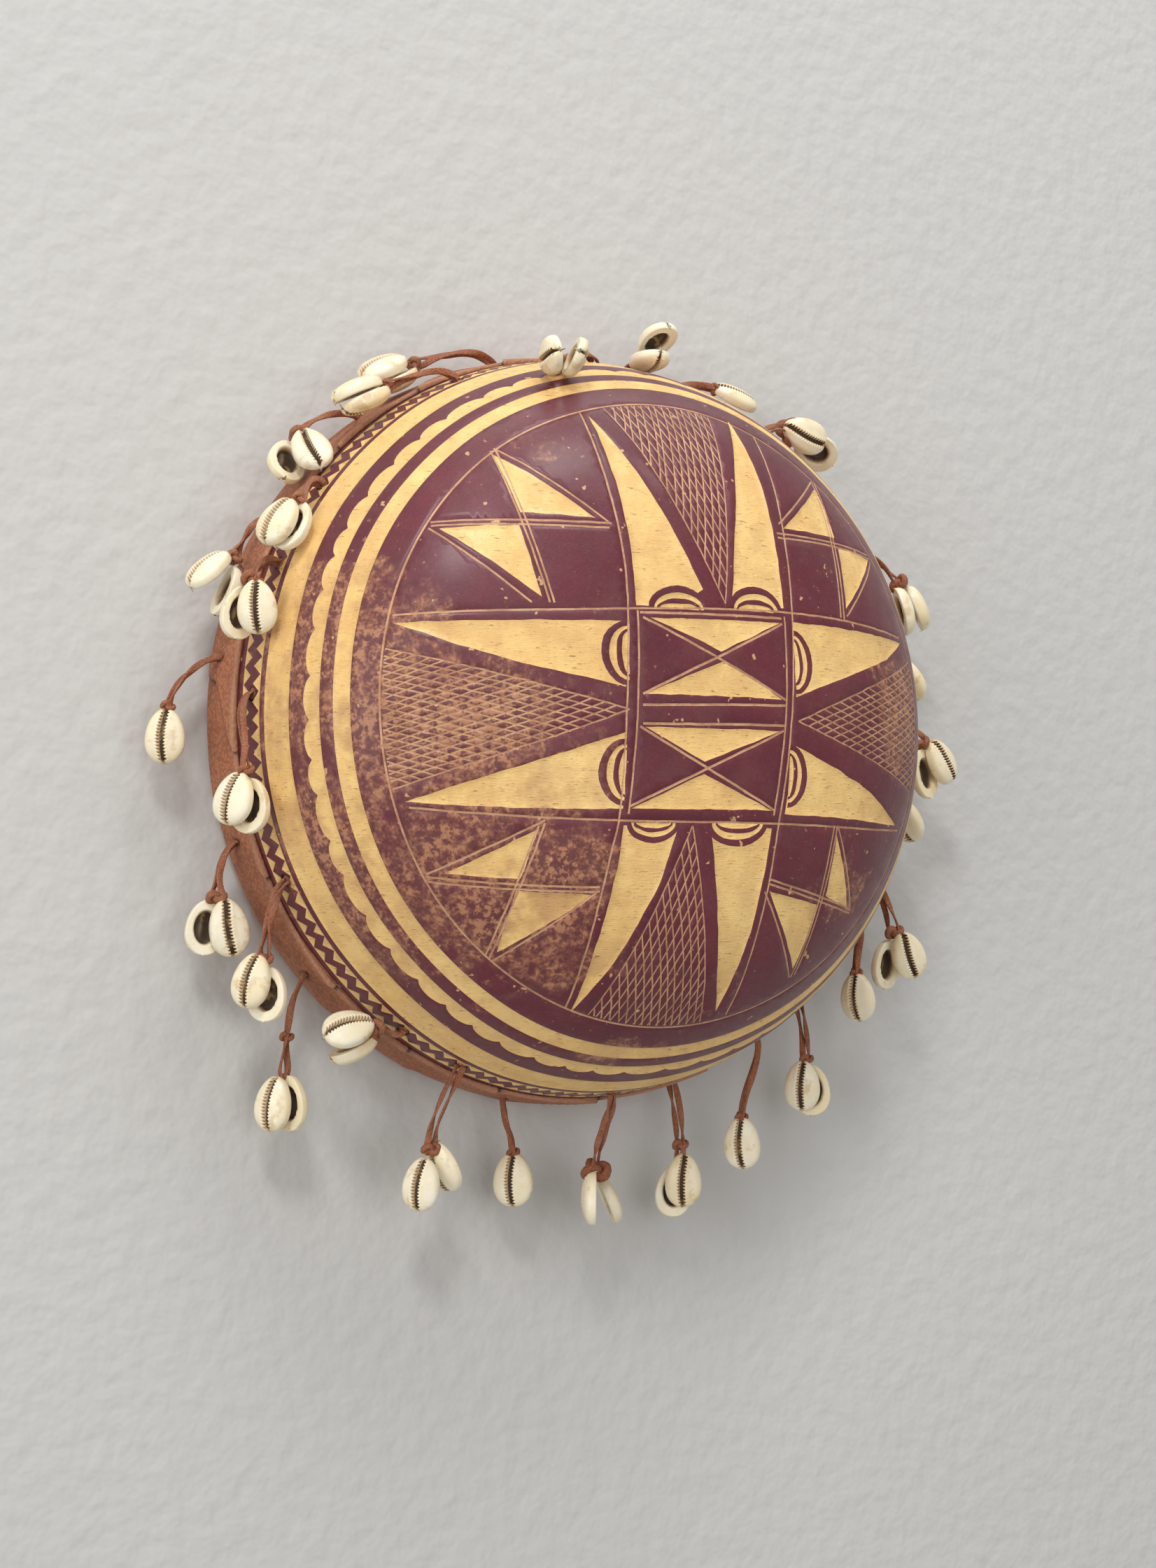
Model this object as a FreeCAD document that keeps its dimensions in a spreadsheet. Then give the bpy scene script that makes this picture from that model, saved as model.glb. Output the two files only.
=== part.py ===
import FreeCAD, Part
import math
import os

# A calabash tambourine, hung on a wall.
#
# Half a gourd, carved outside, has a leather skin drawn over its mouth and turned up its side.
# Cowrie shells hang on short leather thongs around it, from two rows of holes: one through the
# skirt of the skin, the other through the carved zigzag band of the gourd.
#
# Millimetres. The origin is the middle of the flat skin, which lies against the wall in the plane
# y = 0. The dome points along -Y, +Z is up and +X is to the right for somebody facing the dome.
# Angles around the rim are in degrees, anticlockwise from +X for that person.

Vector = FreeCAD.Vector
DOME = Vector(0, -1, 0)

doc = FreeCAD.newDocument("calabash_tambourine")

SIZES = [
    ("gourd_radius", 148.6),
    ("gourd_depth", 121.9),
    ("roundness", 2.57),
    ("wall_thickness", 5.0),
    ("skin_thickness", 1.3),
    ("skirt_height", 27.0),
    ("skirt_row_depth", 13.0),
    ("band_row_depth", 37.0),
    ("hole_radius", 2.6),
    ("stub_radius", 2.2),
    ("knot_radius", 3.8),
    ("thong_radius", 1.1),
    ("thong_rise", 1.8),
    ("strand_gap", 2.8),
    ("shell_length", 22.0),
    ("shell_width", 17.4),
    ("shell_face", 4.2),
    ("shell_back", 1.3),
    ("aperture_width", 1.6),
    ("aperture_length", 18.0),
    ("aperture_depth", 2.6),
]

sheet = doc.addObject("Spreadsheet::Sheet", "sizes")
for row, (name, value) in enumerate(SIZES, start=1):
    sheet.set(f"A{row}", name)
    sheet.set(f"B{row}", str(value))
    sheet.setAlias(f"B{row}", name)
doc.recompute()


def size(name):
    """The value of one driving dimension, read from the sheet."""
    return float(sheet.get(name))


# Clearances that keep touching pieces from sharing volume.
SKIN_GAP = 0.05

# Depths, between the skirt's edge and the crown, where the arcs of the gourd's outline meet, and
# the bend, one over a radius, under which an arc is drawn as a straight line.
SPAN_DEPTHS = (60.0, 95.0, 115.0)
NEARLY_STRAIGHT = 1e-6

# How strongly a strap keeps its direction where it leaves its hole and where it meets its shells,
# as shares of the distance between the two.
LEAVING_PULL = 0.2
ARRIVING_PULL = 0.3

# Least distance of each strand's end from the middle line, as a share of the strand gap.
END_GAP = 0.75

# Each pendant, clockwise from the left as the player sees the dome: the angle of its hole around
# the rim, in degrees; "skirt" or "band", the row of holes that it hangs from; and its shells:
#   x, z    the middle of the shell, and off, how far that middle is from the wall
#   lie     direction of the shell from its tied end, degrees, -90 is straight down
#   lift    how far that direction is raised from the wall towards the room, degrees
#   turn    how far its face is turned from the room, about its own length, degrees
PENDANTS = [
    (172, "skirt", [(-171, -10, 15, -92, 0, 28)]),
    (150, "skirt", [(-157.5, 52, 23, -138, 0, 76), (-151, 44.5, 23, -112, 0, -93)]),
    (158, "band", [(-149, 35.5, 50, -86, 0, 24), (-153, 34, 43, -103, 0, 172)]),
    (144, "band", [(-140, 68, 48, -120, 0, 62), (-135, 67, 48, -118, 0, -118)]),
    (128, "skirt", [(-119.5, 100.5, 29, -80, 40, 17), (-126.5, 96.5, 22, -114, 30, 179)]),
    (115, "band", [(-103.5, 123.5, 36, -155, 0, 93), (-100, 120.5, 36, -153, 0, -83)]),
    (103, "skirt", [(-85.5, 137.5, 20, -154, 0, 68), (-81, 133.5, 20, -152, 0, -96)]),
    (90, "band", [(-41, 135.5, 77, -180, 75, -170), (-33.5, 135, 80, -180, 75, -20)]),
    (80, "skirt", [(31.5, 159.5, 33, 90, 65, 180), (27.5, 151.5, 33, 90, 85, 0)]),
    (72, "skirt", [(79.5, 144.5, 17, -16, 0, -50)]),
    (57, "band", [(108.5, 129.5, 27, -18, 0, 14), (119, 125, 19.5, -27, 0, -136)]),
    (35, "skirt", [(156.5, 56.5, 30, -75, 0, -69), (166, 59, 27, -64, 0, -60)]),
    (22, "band", [(156, 26.5, 34, -58, 0, 76)]),
    (6, "skirt", [(176, -8, 30, -56, 0, -18), (168, -13.5, 29, -75, 0, 159)]),
    (356, "band", [(156, -33.5, 31, -62, 0, 72)]),
    (341, "skirt", [(156.5, -91.5, 31, -70, 0, 16), (149.5, -95.5, 25, -100, 0, 164)]),
    (329, "band", [(131, -109, 30, -84, 0, 57)]),
    (316, "skirt", [(105, -145.5, 26, -92, 0, 36), (110, -147.5, 25, -88, 0, -142)]),
    (301, "band", [(72.5, -167.5, 30, -87, 0, 40)]),
    (289, "skirt", [(48, -182, 24, -92, 0, 28), (46.5, -186.5, 19, -98, 0, -160)]),
    (273, "band", [(2.5, -186.5, 30, -91, 0, 118), (14, -188, 21, -64, 0, -72)]),
    (259, "skirt", [(-26, -179, 17, -90, 0, 40)]),
    (246, "band", [(-71, -178, 28, -98, 0, 42), (-60.5, -172, 26, -67, 0, 78)]),
    (235, "band", [(-107, -118.5, 40, -166, 0, 40), (-102.5, -125.5, 34.5, -154, 0, -92)]),
    (221, "skirt", [(-128, -146.5, 19, -98, 0, 52), (-121.5, -146.5, 19, -88, 0, -114)]),
    (206, "band", [(-141.5, -100.5, 30, -104, 0, 42), (-135.5, -105.5, 30, -95, 0, -127)]),
    (199, "skirt", [(-147, -81, 20, -80, 0, 11), (-154.5, -81, 15, -96, 0, -177)]),
    (178, "band", [(-155, -34.5, 45, -104, 0, 54), (-149, -37, 45, -94, 0, -122)]),
]


def check_up(obj):
    """Stop if a document object failed or has no usable shape."""
    if "Invalid" in obj.State or "Error" in obj.State:
        raise RuntimeError(obj.Label + " is " + str(obj.State))
    if hasattr(obj, "Shape") and (obj.Shape.isNull() or not obj.Shape.isValid()):
        raise RuntimeError(obj.Label + " has no valid shape")
    return obj


def outside_radius(depth):
    """Radius of the gourd's outside at a depth from the wall: a superellipse."""
    share = (depth / size("gourd_depth")) ** size("roundness")
    return size("gourd_radius") * (1 - share) ** (1 / size("roundness"))


def outline_node(offset, depth):
    """A point of the gourd's outline at a depth, moved outwards by offset, and its direction.

    With the angle a, the outline is radius * cos(a)^k and depth * sin(a)^k, where k is 2 over the
    roundness. Its normal is (cos(a)^(2-k) / radius, sin(a)^(2-k) / depth), made one long.
    """
    power = 2 / size("roundness")
    s = min((depth / size("gourd_depth")) ** (1 / power), 1.0)
    c = math.sqrt(1 - s * s)
    normal = Vector(c ** (2 - power) / size("gourd_radius"), -s ** (2 - power) / size("gourd_depth"), 0)
    normal.normalize()
    point = Vector(size("gourd_radius") * c ** power, -depth, 0) + normal * offset
    return point, Vector(normal.y, -normal.x, 0)


def arc_from(start, direction, end):
    """The arc that leaves start in a direction and ends at end."""
    chord = end - start
    across = Vector(-direction.y, direction.x, 0)
    bend = 2 * chord.dot(across) / chord.dot(chord)
    if abs(bend) < NEARLY_STRAIGHT:
        return segment(start, end)
    centre = start + across / bend
    middle = ((start - centre) + (end - centre)).normalize() / abs(bend)
    return Part.Arc(start, centre + middle, end).toShape()


def outline(offset, depths):
    """The gourd's outline through the given depths: two tangent arcs from each depth to the next.

    The two arcs of a span meet halfway between the points that lie the same distance along the
    two end tangents, with that distance chosen so that both arcs touch the line between them.
    """
    nodes = [outline_node(offset, depth) for depth in depths]
    edges = []
    for (start, ahead), (end, onward) in zip(nodes, nodes[1:]):
        chord, both = end - start, ahead + onward
        square = both.dot(both) - 4
        linear = -2 * chord.dot(both)
        root = math.sqrt(linear ** 2 - 4 * square * chord.dot(chord))
        reach = max((-linear + root) / (2 * square), (-linear - root) / (2 * square))
        near, far = start + ahead * reach, end - onward * reach
        joint = (near + far) / 2
        edges.append(arc_from(start, ahead, joint))
        edges.append(arc_from(joint, (far - near).normalize(), end))
    return edges, nodes[0][0], nodes[-1][0]


def face_of(edges):
    """A flat face inside a closed loop of edges."""
    return Part.Face(Part.Wire(Part.__sortEdges__(edges)))


def segment(start, end):
    """A straight edge."""
    return Part.LineSegment(start, end).toShape()


def revolved(label, face):
    """Turn a half section about the drum's axis into a solid of the document."""
    section = doc.addObject("Part::Feature", label + "_section")
    section.Shape = face
    body = doc.addObject("Part::Revolution", label + "_turned")
    body.Source = section
    body.Axis = (0, 1, 0)
    body.Base = (0, 0, 0)
    body.Angle = 360.0
    body.Solid = True
    return body


def gourd_section():
    """Half section of the gourd wall, from the rim's flat end to the crown."""
    rim = size("skin_thickness") + SKIN_GAP
    depths = [rim, size("skirt_height"), *SPAN_DEPTHS, size("gourd_depth")]
    outer, outer_rim, outer_crown = outline(0.0, depths)
    inner, inner_rim, inner_crown = outline(-size("wall_thickness"), depths)
    return face_of(
        outer + inner + [segment(outer_rim, inner_rim), segment(outer_crown, inner_crown)])


def skin_section():
    """Half section of the skin: the flat head, a rounded fold and the skirt up the side."""
    thick = size("skin_thickness")
    fold = 2 * thick
    inner, inside_rim, inside_edge = outline(SKIN_GAP, [thick, size("skirt_height")])
    outer, fold_top, outside_edge = outline(SKIN_GAP + thick, [fold, size("skirt_height")])
    flat_end = Vector(fold_top.x - fold, 0, 0)
    turn = fold * (1 - math.sqrt(0.5))
    fold_middle = Vector(fold_top.x - turn, -turn, 0)
    under_head = Vector(0, -thick, 0)
    return face_of(outer + inner + [
        segment(Vector(0, 0, 0), flat_end),
        Part.Arc(flat_end, fold_middle, fold_top).toShape(),
        segment(outside_edge, inside_edge),
        segment(inside_rim, under_head),
        segment(under_head, Vector(0, 0, 0)),
    ])


def row_depth(row):
    """Depth of a row of holes from the wall."""
    return size("skirt_row_depth") if row == "skirt" else size("band_row_depth")


def surface_radius(row):
    """Radius of the surface that a row of holes opens on."""
    cover = size("skin_thickness") + SKIN_GAP if row == "skirt" else 0.0
    return outside_radius(row_depth(row)) + cover


def outwards(angle):
    """Unit vector from the axis towards an angle around the rim."""
    return Vector(math.cos(math.radians(angle)), 0, math.sin(math.radians(angle)))


def hole_mouth(angle, row):
    """Middle of a hole, on the surface."""
    return outwards(angle) * surface_radius(row) + DOME * row_depth(row)


def hole_cutters(row):
    """A compound of cylinders, one for each hole of a row."""
    drills = []
    for number, (angle, own_row, *_) in enumerate(PENDANTS, start=1):
        if row in ("both", own_row):
            drill = doc.addObject("Part::Cylinder", f"drill_{row}_{number:02d}")
            drill.setExpression("Radius", "sizes.hole_radius")
            drill.setExpression("Height", "4 * sizes.wall_thickness")
            start = hole_mouth(angle, own_row) - outwards(angle) * 3 * size("wall_thickness")
            drill.Placement = FreeCAD.Placement(
                start, FreeCAD.Rotation(Vector(0, 0, 1), outwards(angle)))
            drills.append(drill)
    bundle = doc.addObject("Part::Compound", f"drills_{row}")
    bundle.Links = drills
    return bundle


def drilled(label, body, cutters):
    """The body with its holes cut."""
    result = doc.addObject("Part::Cut", label)
    result.Base = body
    result.Tool = cutters
    result.Label = label
    return result


def stopper_knots():
    """The knot inside each hole and the pair of strands that fills the hole behind it."""
    solids = []
    through = size("wall_thickness")
    for angle, row, *_ in PENDANTS:
        cover = size("skin_thickness") if row == "skirt" else 0.0
        reach = through + cover + size("knot_radius")
        middle = hole_mouth(angle, row) - outwards(angle) * (reach + 4 * SKIN_GAP)
        ball = Part.makeSphere(size("knot_radius"), middle)
        stub = Part.makeCylinder(size("stub_radius"), reach, middle, outwards(angle))
        solids.append(ball.fuse(stub).removeSplitter().Solids[0])
    knots = doc.addObject("Part::Feature", "stopper_knots")
    knots.Shape = Part.makeCompound(solids)
    return knots


def cowrie_pattern():
    """One cowrie, standing on its tip with its slit towards -Y and its back cut off flat.

    The egg is an ellipsoid; two flats take off its back, where it is cut open, and a little of
    its face, and a thin lens makes the slit.
    """
    egg = doc.addObject("Part::Ellipsoid", "cowrie_egg")
    egg.setExpression("Radius1", "sizes.shell_length / 2")
    egg.setExpression("Radius2", "sizes.shell_face * 1.12")
    egg.setExpression("Radius3", "sizes.shell_width / 2")
    egg.Angle1, egg.Angle2, egg.Angle3 = -90, 90, 360
    egg.Placement = FreeCAD.Placement(Vector(0, 0, 0), FreeCAD.Rotation(Vector(0, 0, 1), 90))
    keep = doc.addObject("Part::Box", "cowrie_flats")
    keep.setExpression("Length", "2 * sizes.shell_width")
    keep.setExpression("Width", "sizes.shell_face + sizes.shell_back")
    keep.setExpression("Height", "2 * sizes.shell_length")
    keep.Placement.Base = Vector(-size("shell_width"), -size("shell_face"), -size("shell_length"))
    body = doc.addObject("Part::Common", "cowrie_body")
    body.Base, body.Tool = egg, keep
    lens = doc.addObject("Part::Ellipsoid", "cowrie_slit")
    lens.setExpression("Radius1", "sizes.aperture_length / 2")
    lens.setExpression("Radius2", "sizes.aperture_width / 2")
    lens.setExpression("Radius3", "sizes.aperture_depth")
    lens.Angle1, lens.Angle2, lens.Angle3 = -90, 90, 360
    lens.Placement.Base = Vector(0, -size("shell_face"), 0)
    pattern = doc.addObject("Part::Cut", "cowrie_pattern")
    pattern.Base, pattern.Tool = body, lens
    return pattern


def shell_directions(lie, lift):
    """Unit vectors along a shell, from its tied end, and out of a face turned to the room."""
    tilt = math.radians(lift)
    along = outwards(lie)
    return along * math.cos(tilt) + DOME * math.sin(tilt), DOME * math.cos(tilt) - along * math.sin(tilt)


def shell_place(shell):
    """Placement of one shell of a pendant."""
    x, z, off, lie, lift, turn = shell
    down, face = shell_directions(lie, lift)
    face = FreeCAD.Rotation(down, turn).multVec(face)
    matrix = FreeCAD.Matrix()
    for column, axis in enumerate((down.cross(face), face * -1, down * -1)):
        matrix.setCol(column, axis)
    matrix.move(Vector(x, -off, z))
    return FreeCAD.Placement(matrix)


def tied_end(shell):
    """The point just inside the upper tip of a shell, where its strand reaches it."""
    x, z, off, lie, lift, _ = shell
    down, _ = shell_directions(lie, lift)
    return Vector(x, -off, z) - down * (size("shell_length") / 2 - 1)


def thong_route(pendant):
    """The strap's route: out of its hole, down to the shells, through them and back.

    The middle line is a cubic curve that leaves the hole outwards and arrives along the shells.
    The two strands lie either side of it. Where the shells of a pair hang apart, each strand
    ends at its own shell.
    """
    angle, row, shells = pendant
    start = hole_mouth(angle, row) + outwards(angle) * size("thong_rise")
    first, last = tied_end(shells[0]), tied_end(shells[-1])
    finish = (first + last) * 0.5
    down = Vector()
    for _, _, _, lie, lift, _ in shells:
        down = down + shell_directions(lie, lift)[0]
    down.normalize()
    pull = (finish - start).Length
    second = start + outwards(angle) * (LEAVING_PULL * pull)
    third = finish - down * (ARRIVING_PULL * pull)
    side = (finish - start).cross(outwards(angle) + down * 0.2).normalize()
    across = (last - first) * 0.5
    if across.dot(side) < 0:
        across = across * -1
    if across.Length < END_GAP * size("strand_gap"):
        across = side * (END_GAP * size("strand_gap"))
    shares = (0.0, 0.36, 0.7, 1.0)
    widths = (0.5, 0.85, 0.6)
    gaps = [side * (width * size("strand_gap")) for width in widths] + [across]
    middle = []
    for share in shares:
        rest = 1 - share
        middle.append(
            start * rest ** 3 + second * (3 * rest ** 2 * share)
            + third * (3 * rest * share ** 2) + finish * share ** 3)
    return [m - g for m, g in zip(middle, gaps)] + [m + g for m, g in zip(middle[::-1], gaps[::-1])]


def tube(points, radius):
    """A round tube along straight runs joined by tangent arcs, and the length of its middle."""
    edges = []
    here = points[0]
    for before, corner, after in zip(points, points[1:], points[2:]):
        to_before, to_after = before - corner, after - corner
        turn = math.pi - to_before.getAngle(to_after)
        cut = 0.45 * min(to_before.Length, to_after.Length)
        arc_start = corner + to_before.normalize() * cut
        arc_end = corner + to_after.normalize() * cut
        bisector = (to_before + to_after).normalize()
        arc_radius = cut / math.tan(turn / 2)
        reach = arc_radius / math.cos(turn / 2) - arc_radius
        edges.append(segment(here, arc_start))
        edges.append(Part.Arc(arc_start, corner + bisector * reach, arc_end).toShape())
        here = arc_end
    edges.append(segment(here, points[-1]))
    path = Part.Wire(edges)
    section = Part.Wire(Part.makeCircle(radius, points[0], points[1] - points[0]))
    solid = path.makePipeShell([section], True, False)
    return solid, path.Length


def pendants(pattern):
    """A thong and its cowries for every pendant, as features of their own."""
    made = []
    for number, pendant in enumerate(PENDANTS, start=1):
        radius = size("thong_radius")
        strap, length = tube(thong_route(pendant), radius)
        ratio = strap.Volume / (math.pi * radius ** 2 * length)
        print(f"thong_{number:02d} {length:.1f} mm long, volume over section times length {ratio:.3f}")
        thong = doc.addObject("Part::Feature", f"thong_{number:02d}")
        thong.Shape = strap
        shells = []
        for spot in pendant[2]:
            shell = pattern.Shape.copy()
            shell.Placement = shell_place(spot)
            shells.append(shell)
        cowries = doc.addObject("Part::Feature", f"cowries_{number:02d}")
        cowries.Shape = Part.makeCompound([solid for shell in shells for solid in shell.Solids])
        made += [thong, cowries]
    return made


gourd = drilled("gourd_shell", revolved("gourd", gourd_section()), hole_cutters("both"))
skin = drilled("drum_skin", revolved("skin", skin_section()), hole_cutters("skirt"))
pattern = cowrie_pattern()
doc.recompute()
sub_parts = [gourd, skin, stopper_knots()] + pendants(pattern)
doc.recompute()

for obj in doc.Objects:
    check_up(obj)
os.makedirs("parts", exist_ok=True)
for obj in sub_parts:
    obj.Shape.exportStep(f"parts/{obj.Label}.step")
    print(obj.Label, "solids", len(obj.Shape.Solids), "volume", round(obj.Shape.Volume, 1))
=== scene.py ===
# %% [markdown]
# # A calabash tambourine
# Half a gourd with a leather skin over its mouth hangs on a wall, dome outwards. Its outside is
# stained dark and carved, and cowrie shells hang around its side on leather thongs. The solids of
# the drum are already made; this lesson dresses them. Everything is in metres, +Z is up, the wall
# is the plane y = 0 and the dome points along -Y.

# %% Load the frame
import math

import bpy
import numpy as np
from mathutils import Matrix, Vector
from mathutils.geometry import delaunay_2d_cdt


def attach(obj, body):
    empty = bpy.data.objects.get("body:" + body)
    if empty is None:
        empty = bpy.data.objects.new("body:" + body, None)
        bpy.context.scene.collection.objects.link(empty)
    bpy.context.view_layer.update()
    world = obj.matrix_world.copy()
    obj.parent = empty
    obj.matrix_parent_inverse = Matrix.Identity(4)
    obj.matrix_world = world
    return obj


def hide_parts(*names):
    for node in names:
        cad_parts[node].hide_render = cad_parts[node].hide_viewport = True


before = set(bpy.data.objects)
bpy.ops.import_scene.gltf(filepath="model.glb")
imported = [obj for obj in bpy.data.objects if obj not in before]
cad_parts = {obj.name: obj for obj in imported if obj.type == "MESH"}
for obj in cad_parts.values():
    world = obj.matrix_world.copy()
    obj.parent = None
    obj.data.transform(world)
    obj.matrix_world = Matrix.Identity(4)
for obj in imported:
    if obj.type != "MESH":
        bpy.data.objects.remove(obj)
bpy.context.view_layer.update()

# %% [markdown]
# ## The viewpoint
# The camera stands a metre away, well to the left and a little below the middle of the drum, so the
# turned-up leather shows on the left and the dome hides it on the right. A long lens keeps the dome
# from bulging. The lens is shifted a little, because the drum isn't in the middle of the picture.

# %% Camera
scene = bpy.context.scene
scene.view_settings.view_transform = "Standard"

CAMERA_AZIMUTH, CAMERA_ELEVATION, CAMERA_DISTANCE = math.radians(-28.48), math.radians(-5.09), 1.0
towards_camera = Vector((
    math.sin(CAMERA_AZIMUTH) * math.cos(CAMERA_ELEVATION),
    -math.cos(CAMERA_AZIMUTH) * math.cos(CAMERA_ELEVATION),
    math.sin(CAMERA_ELEVATION),
))
camera_data = bpy.data.cameras.new("camera")
camera_data.sensor_fit = "HORIZONTAL"
camera_data.sensor_width = 36.0
camera_data.lens = 75.86
camera_data.shift_x = 0.0236
camera_data.shift_y = -0.0453
camera = bpy.data.objects.new("camera", camera_data)
camera.location = towards_camera * CAMERA_DISTANCE
camera.rotation_euler = (-towards_camera).to_track_quat("-Z", "Y").to_euler()
scene.collection.objects.link(camera)
scene.camera = camera
print("camera at", [round(value, 3) for value in camera.location])

# %% [markdown]
# ## The drum's measurements
# The gourd's outline is a superellipse: with an angle a from the rim (0) to the crown (90 degrees),
# the radius is 148.6 mm times cos(a) to a power and the depth 121.9 mm times sin(a) to the same
# power. A power under 1 makes the shoulders fuller than an ellipse's, as a calabash has them.
# The pattern was laid out by hand over the dome, so it is kept as a flat map: a point's distance
# from the middle of the map is its distance from the crown, measured along the gourd.

# %% Measurements of the drum
MM = 0.001
GOURD_RADIUS, GOURD_DEPTH, ROUNDNESS = 148.6, 121.9, 2.57
WALL, SKIN, SKIN_GAP = 5.0, 1.3, 0.05
SKIRT_HEIGHT = 27.0
ROW_DEPTH = {"skirt": 13.0, "band": 37.0}
THONG_RISE, STRAND_GAP = 1.8, 2.8
LEAVING_PULL, ARRIVING_PULL = 0.2, 0.3
SHELL_LENGTH, SHELL_WIDTH, SHELL_BACK = 22.0, 17.4, 1.3
END_GAP = 0.75

POWER = 2 / ROUNDNESS
outline_angle = np.linspace(0.0, math.pi / 2, 6001)
outline_radius = GOURD_RADIUS * np.cos(outline_angle).clip(0) ** POWER
outline_depth = GOURD_DEPTH * np.sin(outline_angle) ** POWER
normal_radius = np.cos(outline_angle).clip(0) ** (2 - POWER) / GOURD_RADIUS
normal_depth = np.sin(outline_angle) ** (2 - POWER) / GOURD_DEPTH
normal_size = np.hypot(normal_radius, normal_depth)
normal_radius, normal_depth = normal_radius / normal_size, normal_depth / normal_size
steps = np.hypot(np.diff(outline_radius), np.diff(outline_depth))
from_crown = np.concatenate([[0.0], np.cumsum(steps[::-1])])


def full_turn(count):
    """Angles that divide a full turn evenly."""
    return np.linspace(0, 2 * math.pi, count, endpoint=False)


def unit(vectors):
    """A vector, or each row of an array, made one long."""
    return vectors / np.linalg.norm(vectors, axis=-1, keepdims=True)


def around_axis(radius, depth, turn):
    """Points in metres at radii and depths in mm and angles around the drum's axis."""
    return np.column_stack([radius * np.cos(turn), -depth, radius * np.sin(turn)]) * MM


def along_outline(arc, values):
    """Read a property of the outline at distances from the crown, in mm along the gourd."""
    return np.interp(arc, from_crown, values[::-1])


def on_dome(flat, lift):
    """Place points of the flat map on the dome, in metres.

    A point at distance s and angle t in the map goes to the place at distance s from the crown
    along the outline, turned by t about the drum's axis, and is then raised by lift mm along the
    normal of the gourd.
    """
    arc, turn = np.hypot(flat[:, 0], flat[:, 1]), np.arctan2(flat[:, 1], flat[:, 0])
    radius = along_outline(arc, outline_radius) + lift * along_outline(arc, normal_radius)
    depth = along_outline(arc, outline_depth) + lift * along_outline(arc, normal_depth)
    return around_axis(radius, depth, turn)


def radius_at(depth):
    """Outside radius of the gourd at a depth from the wall, both in mm."""
    height = np.clip(depth, 0, GOURD_DEPTH) / GOURD_DEPTH
    return GOURD_RADIUS * (1 - height ** ROUNDNESS) ** (1 / ROUNDNESS)


print("from the crown to the rim", round(from_crown[-1], 1), "mm")

# %% [markdown]
# ## The pendants' places
# Every pendant hangs from a hole in one of two rows: through the turned-up skin, or through the
# zigzag band of the gourd. A table says where each one's shells are and how they lie, in
# millimetres and degrees: the angle of its hole, its row, and its shells. Each shell has its
# middle (x, z, distance from the wall), its direction from the tied end, how far that direction
# is raised towards the room, and how far its face is turned from the room. Most pendants have two
# shells, back to back, that have dried a little apart.

# %% Table of pendants
PENDANTS = [
    (172, "skirt", [(-171, -10, 15, -92, 0, 28)]),
    (150, "skirt", [(-157.5, 52, 23, -138, 0, 76), (-151, 44.5, 23, -112, 0, -93)]),
    (158, "band", [(-149, 35.5, 50, -86, 0, 24), (-153, 34, 43, -103, 0, 172)]),
    (144, "band", [(-140, 68, 48, -120, 0, 62), (-135, 67, 48, -118, 0, -118)]),
    (128, "skirt", [(-119.5, 100.5, 29, -80, 40, 17), (-126.5, 96.5, 22, -114, 30, 179)]),
    (115, "band", [(-103.5, 123.5, 36, -155, 0, 93), (-100, 120.5, 36, -153, 0, -83)]),
    (103, "skirt", [(-85.5, 137.5, 20, -154, 0, 68), (-81, 133.5, 20, -152, 0, -96)]),
    (90, "band", [(-41, 135.5, 77, -180, 75, -170), (-33.5, 135, 80, -180, 75, -20)]),
    (80, "skirt", [(31.5, 159.5, 33, 90, 65, 180), (27.5, 151.5, 33, 90, 85, 0)]),
    (72, "skirt", [(79.5, 144.5, 17, -16, 0, -50)]),
    (57, "band", [(108.5, 129.5, 27, -18, 0, 14), (119, 125, 19.5, -27, 0, -136)]),
    (35, "skirt", [(156.5, 56.5, 30, -75, 0, -69), (166, 59, 27, -64, 0, -60)]),
    (22, "band", [(156, 26.5, 34, -58, 0, 76)]),
    (6, "skirt", [(176, -8, 30, -56, 0, -18), (168, -13.5, 29, -75, 0, 159)]),
    (356, "band", [(156, -33.5, 31, -62, 0, 72)]),
    (341, "skirt", [(156.5, -91.5, 31, -70, 0, 16), (149.5, -95.5, 25, -100, 0, 164)]),
    (329, "band", [(131, -109, 30, -84, 0, 57)]),
    (316, "skirt", [(105, -145.5, 26, -92, 0, 36), (110, -147.5, 25, -88, 0, -142)]),
    (301, "band", [(72.5, -167.5, 30, -87, 0, 40)]),
    (289, "skirt", [(48, -182, 24, -92, 0, 28), (46.5, -186.5, 19, -98, 0, -160)]),
    (273, "band", [(2.5, -186.5, 30, -91, 0, 118), (14, -188, 21, -64, 0, -72)]),
    (259, "skirt", [(-26, -179, 17, -90, 0, 40)]),
    (246, "band", [(-71, -178, 28, -98, 0, 42), (-60.5, -172, 26, -67, 0, 78)]),
    (235, "band", [(-107, -118.5, 40, -166, 0, 40), (-102.5, -125.5, 34.5, -154, 0, -92)]),
    (221, "skirt", [(-128, -146.5, 19, -98, 0, 52), (-121.5, -146.5, 19, -88, 0, -114)]),
    (206, "band", [(-141.5, -100.5, 30, -104, 0, 42), (-135.5, -105.5, 30, -95, 0, -127)]),
    (199, "skirt", [(-147, -81, 20, -80, 0, 11), (-154.5, -81, 15, -96, 0, -177)]),
    (178, "band", [(-155, -34.5, 45, -104, 0, 54), (-149, -37, 45, -94, 0, -122)]),
]
DOME = np.array([0.0, -1.0, 0.0])


def outwards(angle):
    """Unit vector from the axis towards an angle around the rim, in degrees."""
    return np.array([math.cos(math.radians(angle)), 0.0, math.sin(math.radians(angle))])


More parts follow.
